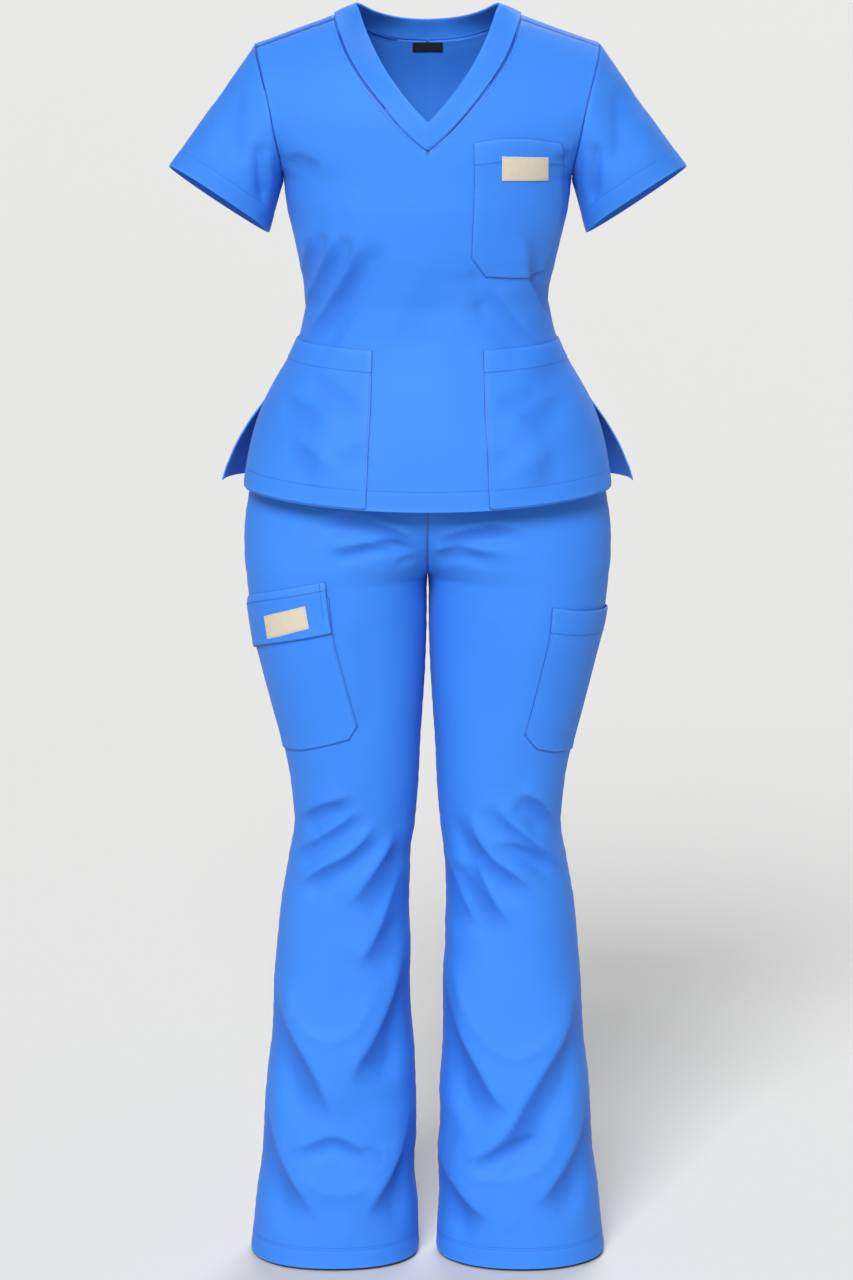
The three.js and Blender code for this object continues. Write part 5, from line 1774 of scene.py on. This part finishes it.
@dataclass
class Trousers:
    """The flared trousers: four leg panels and the waistband.

    Attributes:
        hem: depth of the hems.
        waist_z: height of the upper edge of the waistband.
        body_z: height of the waist seam.
    """

    hem: float = 26.0
    waist_z: float = -330.0
    body_z: float = -370.0
    form: LegForm = field(default_factory=LegForm)

    def __post_init__(self) -> None:
        """Lays out the grids and joins them."""
        self.columns = steps(252, CELL, (1.6, 4.2), (1.6, 4.2))
        far = (1.3, 3.4, self.hem - 6.4, self.hem - 5.0, self.hem - 3.6, self.hem - 2.2, self.hem - 0.8, self.hem + 1.5)
        upper = self.body_z - (self.body_z - CROTCH_Z) * steps(self.body_z - CROTCH_Z, CELL, (1.6, 4.2), (3.0,))
        lower = CROTCH_Z - (CROTCH_Z - LEG_HEM_Z) * steps(CROTCH_Z - LEG_HEM_Z, CELL, (3.0,), far)
        self.heights = np.unique(np.concatenate([upper, lower]))[::-1]
        self.waist = self.waist_z - (self.waist_z - self.body_z) * steps(self.waist_z - self.body_z, CELL, (1.3,), (1.6,))
        self.cloth = Cloth()
        self.ends: dict[tuple[Face, Side], Array] = {}
        for side in Side:
            for face in Face:
                turned = (face is Face.BACK) == (side is Side.LEFT)
                for piece, heights in (("waistband", self.waist), (f"trouser_{face.value}_{side.value}", self.heights)):
                    points = self.form.at(face, side, heights, self.columns)
                    pitch = np.linalg.norm(np.diff(points, axis=1), axis=2)
                    run = np.cumsum(pitch[:, ::-1], axis=1)[:, ::-1]
                    run = np.concatenate([run, np.zeros((len(run), 1))], axis=1)
                    flats = np.stack([-face.sign * run, points[..., 2]], axis=-1)
                    self.cloth.add(piece, points, flats, turned)
                    self.ends[face, side] = flats[:, 0]
        self.cloth.join()
        self.cloth.fold(self.rise)
        self.lay = {
            side: Lay(self.cloth, [f"trouser_front_{side.value}", f"trouser_back_{side.value}"]) for side in Side
        }

    def rise(self, points: Array) -> Array:
        """Height of all the folds at points of the trousers, and the shade painted there."""
        x, y, z = points.T
        sides = [fold_rise(LEG_FOLDS, face, x, z) for face in Face]
        for face, folds in zip(Face, sides):
            folds[0] += unevenness(x, z, face) * smooth((-372 - z) / 60)
        apart = smooth((CROTCH_Z + 14 - z) / 60)
        between = smooth(np.abs(x) / 12)
        return mix(sides[0], sides[1], smooth(y / 35)) * mix(1, between, apart * 0.5)

    def dress(self, finishes: Finishes, needle: Needle) -> None:
        """Makes the panels and the waistband, and sews them.

        Args:
            finishes: the materials.
            needle: what sews the thread.
        """
        cuts = {Face.FRONT: Cut(0.355, 1.06, 0.2950, ("waistband",)), Face.BACK: Cut(0.36, 1.06, 0.3000, ("waistband",))}
        for side in Side:
            for face in Face:
                name = f"trouser_{face.value}_{side.value}"
                layer = self.cloth.layer(name)
                relief = seam_relief(layer.seam, layer.points[:, 2], 0.0 if face is Face.FRONT else 0.3)
                relief += hem_relief(layer.free, self.hem) - 0.36 * bell(layer.free - self.hem + 5.0, 1.5)
                made = shell(f"{name}_panel", layer, relief, press=pressed(layer.seam, layer.free))
                declare(made, name, finishes.cloth, cuts[face])
        layer = self.cloth.layer("waistband")
        gather = 0.8 * np.sin(layer.flats[:, 0] / 2.9) * smooth(layer.seam / 8) * smooth(layer.free / 6)
        made = shell("waistband_elastic", layer, gather * 0.5 + 0.4, 2.4, pressed(layer.seam, layer.free))
        declare(made, "waistband", finishes.cloth, Cut(0.78, 0.045, 0.0330, (), "gathered"))
        self.sew(needle)

    def sew(self, needle: Needle) -> None:
        """Sews the hems with two rows and the middle seam with one row beside it."""
        for side in Side:
            for above in (self.hem - 2.2, self.hem - 5.0):
                z = LEG_HEM_Z + above
                far, near = (float(np.interp(z, self.heights[::-1], self.ends[face, side][::-1, 0])) for face in Face)
                needle.run(Path([[near + 1, z], [far - 1, z]], False), self.lay[side], 0.05)
        heights = np.linspace(self.body_z - 4, -590, 40)
        for face in Face:
            inner = np.interp(heights, self.heights[::-1], self.ends[face, Side.RIGHT][::-1, 0])
            run = np.stack([inner + face.sign * 3.4, heights], axis=-1)
            needle.run(Path(run, False), self.lay[Side.RIGHT], 0.0)


@dataclass
class ThighPockets:
    """The cargo pockets, the flap of the right one and its patch.

    Attributes:
        trousers: the trousers that they lie on.
        rear: how far the pockets run behind the side seam.
        row: distance of the first row of stitches from a sewn edge.
        side_line: distance in front of the side seam of the line pressed and sewn down the pocket.
        band: depth of the turned top of the open pocket.
    """

    trousers: Trousers
    rear: float = -34.0
    row: float = 2.4
    side_line: float = 21.0
    band: float = 29.0

    def pocket(self, side: Side) -> Applique:
        """The pocket of a leg, from behind the side seam to the front of the thigh."""
        flat = self.trousers.form.flat
        if side is Side.LEFT:
            top_z, rear_z, front, floor_z = -628.0, -646.0, [(136, -628), (107, -774), (120, -791)], -798.0
        else:
            top_z, rear_z, front, floor_z = -616.0, -665.0, [(-108, -616), (-77, -763), (-87, -779)], -796.0
        inner = flat(front)
        floor = np.array([self.trousers.form.round_leg(140, floor_z), floor_z])
        back = np.array([[self.rear, rear_z], [self.rear, floor_z + 2], [self.rear + 12, floor_z - 10]])
        lean = flat([(mix(front[0][0], 190 * side.sign, 0.55), mix(top_z, rear_z, 0.4))])[0]
        upper = np.array([back[0], [lean[0], mix(rear_z, top_z, 0.62)], inner[0]])
        return Applique(
            f"cargo_pocket_{side.value}_patch", f"cargo_pocket_{side.value}",
            Path(upper, False), Path(np.array([back[-1], floor, inner[-1]]), False), Path(back, False), Path(inner, False),
        )

    def flap(self) -> Applique:
        """The flap over the right pocket, sewn down along its top."""
        flat = self.trousers.form.flat
        high, low = flat([(-112, -598), (-105, -655)])
        rear_high, rear_low = [self.rear - 4, -642.0], [self.rear - 4, -698.0]
        return Applique(
            "cargo_flap_right_cover", "cargo_flap_right",
            Path([rear_high, high], False), Path([rear_low, low], False), Path([rear_high, rear_low], False), Path([high, low], False),
            outer=3.8, thickness=1.3,
        )

    def dress(self, finishes: Finishes, needle: Needle, cream: Needle) -> None:
        """Makes the pockets, the flap and the patch, and sews them on.

        Args:
            finishes: the materials.
            needle: what sews the azure thread.
            cream: what sews the cream thread.
        """
        for side in Side:
            lay = self.trousers.lay[side]
            pocket = self.pocket(side)
            layer = pocket.layer(lay, (self.band - 3.2, self.band - 1.8, self.band - 0.4))
            relief = pocket.outer + pocket_relief(layer, self.band)
            relief -= 0.55 * bell(layer.flats[:, 0] - self.side_line, 1.5)
            made = shell(pocket.name, layer, relief, pocket.thickness, pressed(layer.seam, layer.free))
            on = (f"trouser_front_{side.value}", f"trouser_back_{side.value}")
            declare(made, pocket.node, finishes.cloth, Cut(0.20, 0.22, 0.0330, on, "laid"))
            needle.run(pocket.line("sides", self.row), lay, pocket.outer + 0.1)
            pressed_line = Path([[self.side_line + 2.6, -672.0], [self.side_line + 2.6, -790.0]], False)
            needle.run(pressed_line, lay, pocket.outer)
            if side is Side.LEFT:
                needle.run(pocket.line("top", self.band - 1.8), lay, pocket.outer + 0.8)
        lay = self.trousers.lay[Side.RIGHT]
        flap = self.flap()
        layer = flap.layer(lay, (7.2, 8.6, 10.0))
        around = np.minimum(layer.seam, layer.free)
        relief = flap.outer - 2.1 * smooth(1 - layer.free / 9) - 0.35 * bell(around, 1.0) + 0.25 * smooth((9 - layer.seam) / 2.5)
        relief -= 0.35 * bell(layer.free - 8.6, 1.4) + 0.3 * bell(layer.seam - 6.6, 1.3)
        relief += 1.1 * smooth((layer.free - 30) / 26)
        made = shell(flap.name, layer, relief, flap.thickness, pressed(layer.seam, layer.free))
        declare(made, flap.node, finishes.cloth, Cut(0.20, 0.075, 0.0130, ("cargo_pocket_right",), "hung"))
        needle.run(flap.line("top", 8.6), lay, flap.outer + 0.1)
        needle.run(flap.line("sides", 6.6), lay, flap.outer + 0.3)
        corners = self.trousers.form.flat([(-177, -642), (-133, -625), (-129, -650), (-173, -668)])
        shape, layer = bare_patch("cargo_patch_right_woven", "cargo_patch_right", corners, lay, 5.1)
        relief = shape.outer - 0.35 * bell(np.minimum(layer.seam, layer.free), 0.9)
        made = shell(shape.name, layer, relief, shape.thickness)
        declare(made, shape.node, finishes.patch, Cut(0.060, 0.030, 0.00170, ("cargo_flap_right",), "laid"))
        border(shape, cream, lay)


@dataclass
class Studio:
    """A pale floor, soft lights and the camera at the photograph's viewing angle.

    Attributes:
        floor_z: height of the floor in metres.
        camera_at: place of the camera.
        aim: the point that it looks at.
        lens: its focal length in mm for a frame 36 mm high.
        sky: brightness of the surroundings overhead. Near the horizon they go on white like the floor.
    """

    floor_z: float = -1.394
    camera_at: tuple[float, float, float] = (-0.0013, -5.0, 0.262)
    aim: tuple[float, float, float] = (-0.0013, 0.0, -0.683)
    lens: float = 127.78
    sky: float = 0.16

    def build(self) -> None:
        """Makes the floor, the lights, the surroundings and the camera."""
        self.floor()
        self.light("key", (-0.7, -3.5, 2.6), 24.0, 3.65)
        self.light("rear", (0.6, 3.2, 2.8), 34.0, 2.0)
        world = bpy.data.worlds.new("pale_studio")
        world.use_nodes = True
        shade = world.node_tree.nodes["Background"]
        shade.inputs["Color"].default_value = (1.0, 1.0, 1.0, 1.0)
        way = add(world, "ShaderNodeTexCoord")
        parts = add(world, "ShaderNodeSeparateXYZ", {}, {"Vector": way.outputs["Generated"]})
        glow = add(
            world,
            "ShaderNodeMapRange",
            {"From Min": 0.1, "From Max": 0.3, "To Min": 0.78, "To Max": self.sky},
            {"Value": parts.outputs["Z"]},
        )
        world.node_tree.links.new(glow.outputs["Result"], shade.inputs["Strength"])
        bpy.context.scene.world = world
        bpy.context.scene.view_settings.view_transform = "Standard"
        data = bpy.data.cameras.new("camera")
        data.sensor_fit = "VERTICAL"
        data.sensor_height = 36.0
        data.lens = self.lens
        data.clip_end = 120.0
        camera = bpy.data.objects.new("camera", data)
        camera.location = self.camera_at
        camera.rotation_euler = (Vector(self.aim) - Vector(self.camera_at)).to_track_quat("-Z", "Y").to_euler()
        bpy.context.scene.collection.objects.link(camera)
        bpy.context.scene.camera = camera

    def floor(self) -> None:
        """Makes the floor, matte and pale like painted board."""
        reach = 40000.0
        low = self.floor_z / MM
        points = np.array([[-reach, -reach, low], [reach, -reach, low], [reach, reach, low], [-reach, reach, low]])
        made = make_object("studio_floor", points, [[0, 1, 2, 3]])
        material = empty_material("painted_board_pale")
        grain = add(material, "ShaderNodeTexNoise", {"Scale": 40.0, "Detail": 3.0})
        bump = add(material, "ShaderNodeBump", {"Strength": 0.05, "Distance": 0.0005}, {"Height": grain.outputs["Fac"]})
        shader = add(
            material,
            "ShaderNodeBsdfPrincipled",
            {
                "Base Color": linear("#CDCDCC"),
                "Roughness": 0.9,
                "Specular IOR Level": 0.2,
            },
            {"Normal": bump.outputs["Normal"]},
        )
        add(material, "ShaderNodeOutputMaterial", {}, {"Surface": shader.outputs["BSDF"]})
        made.data.materials.append(material)

    def light(self, name: str, place: tuple[float, float, float], spread: float, power: float) -> None:
        """Makes a far soft light that shines from a place towards the garment.

        Args:
            name: its name.
            place: a place on the line from the garment to the light.
            spread: how wide it looks from the garment, in degrees.
            power: its strength.
        """
        data = bpy.data.lights.new(name, "SUN")
        data.angle = math.radians(spread)
        data.energy = power
        lamp = bpy.data.objects.new(name, data)
        lamp.location = place
        lamp.rotation_euler = (Vector((0.0, 0.0, 0.0)) - Vector(place)).to_track_quat("-Z", "Y").to_euler()
        bpy.context.scene.collection.objects.link(lamp)


def main() -> None:
    """Builds the garment, its thread and the studio, and notes the sizes."""
    logging.basicConfig(level=logging.INFO, format="%(message)s")
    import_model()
    Studio().build()
    finishes = Finishes()
    needle, cream = Needle(), Needle()
    top = Top()
    top.dress(finishes, needle)
    TopPockets(top).dress(finishes, needle, cream)
    needle.finish("thread_of_top", finishes.thread)
    leg_needle = Needle()
    trousers = Trousers()
    trousers.dress(finishes, leg_needle)
    ThighPockets(trousers).dress(finishes, leg_needle, cream)
    leg_needle.finish("thread_of_trousers", finishes.thread)
    cream.finish("thread_of_patches", finishes.cream_thread)


if __name__ == "__main__":
    main()
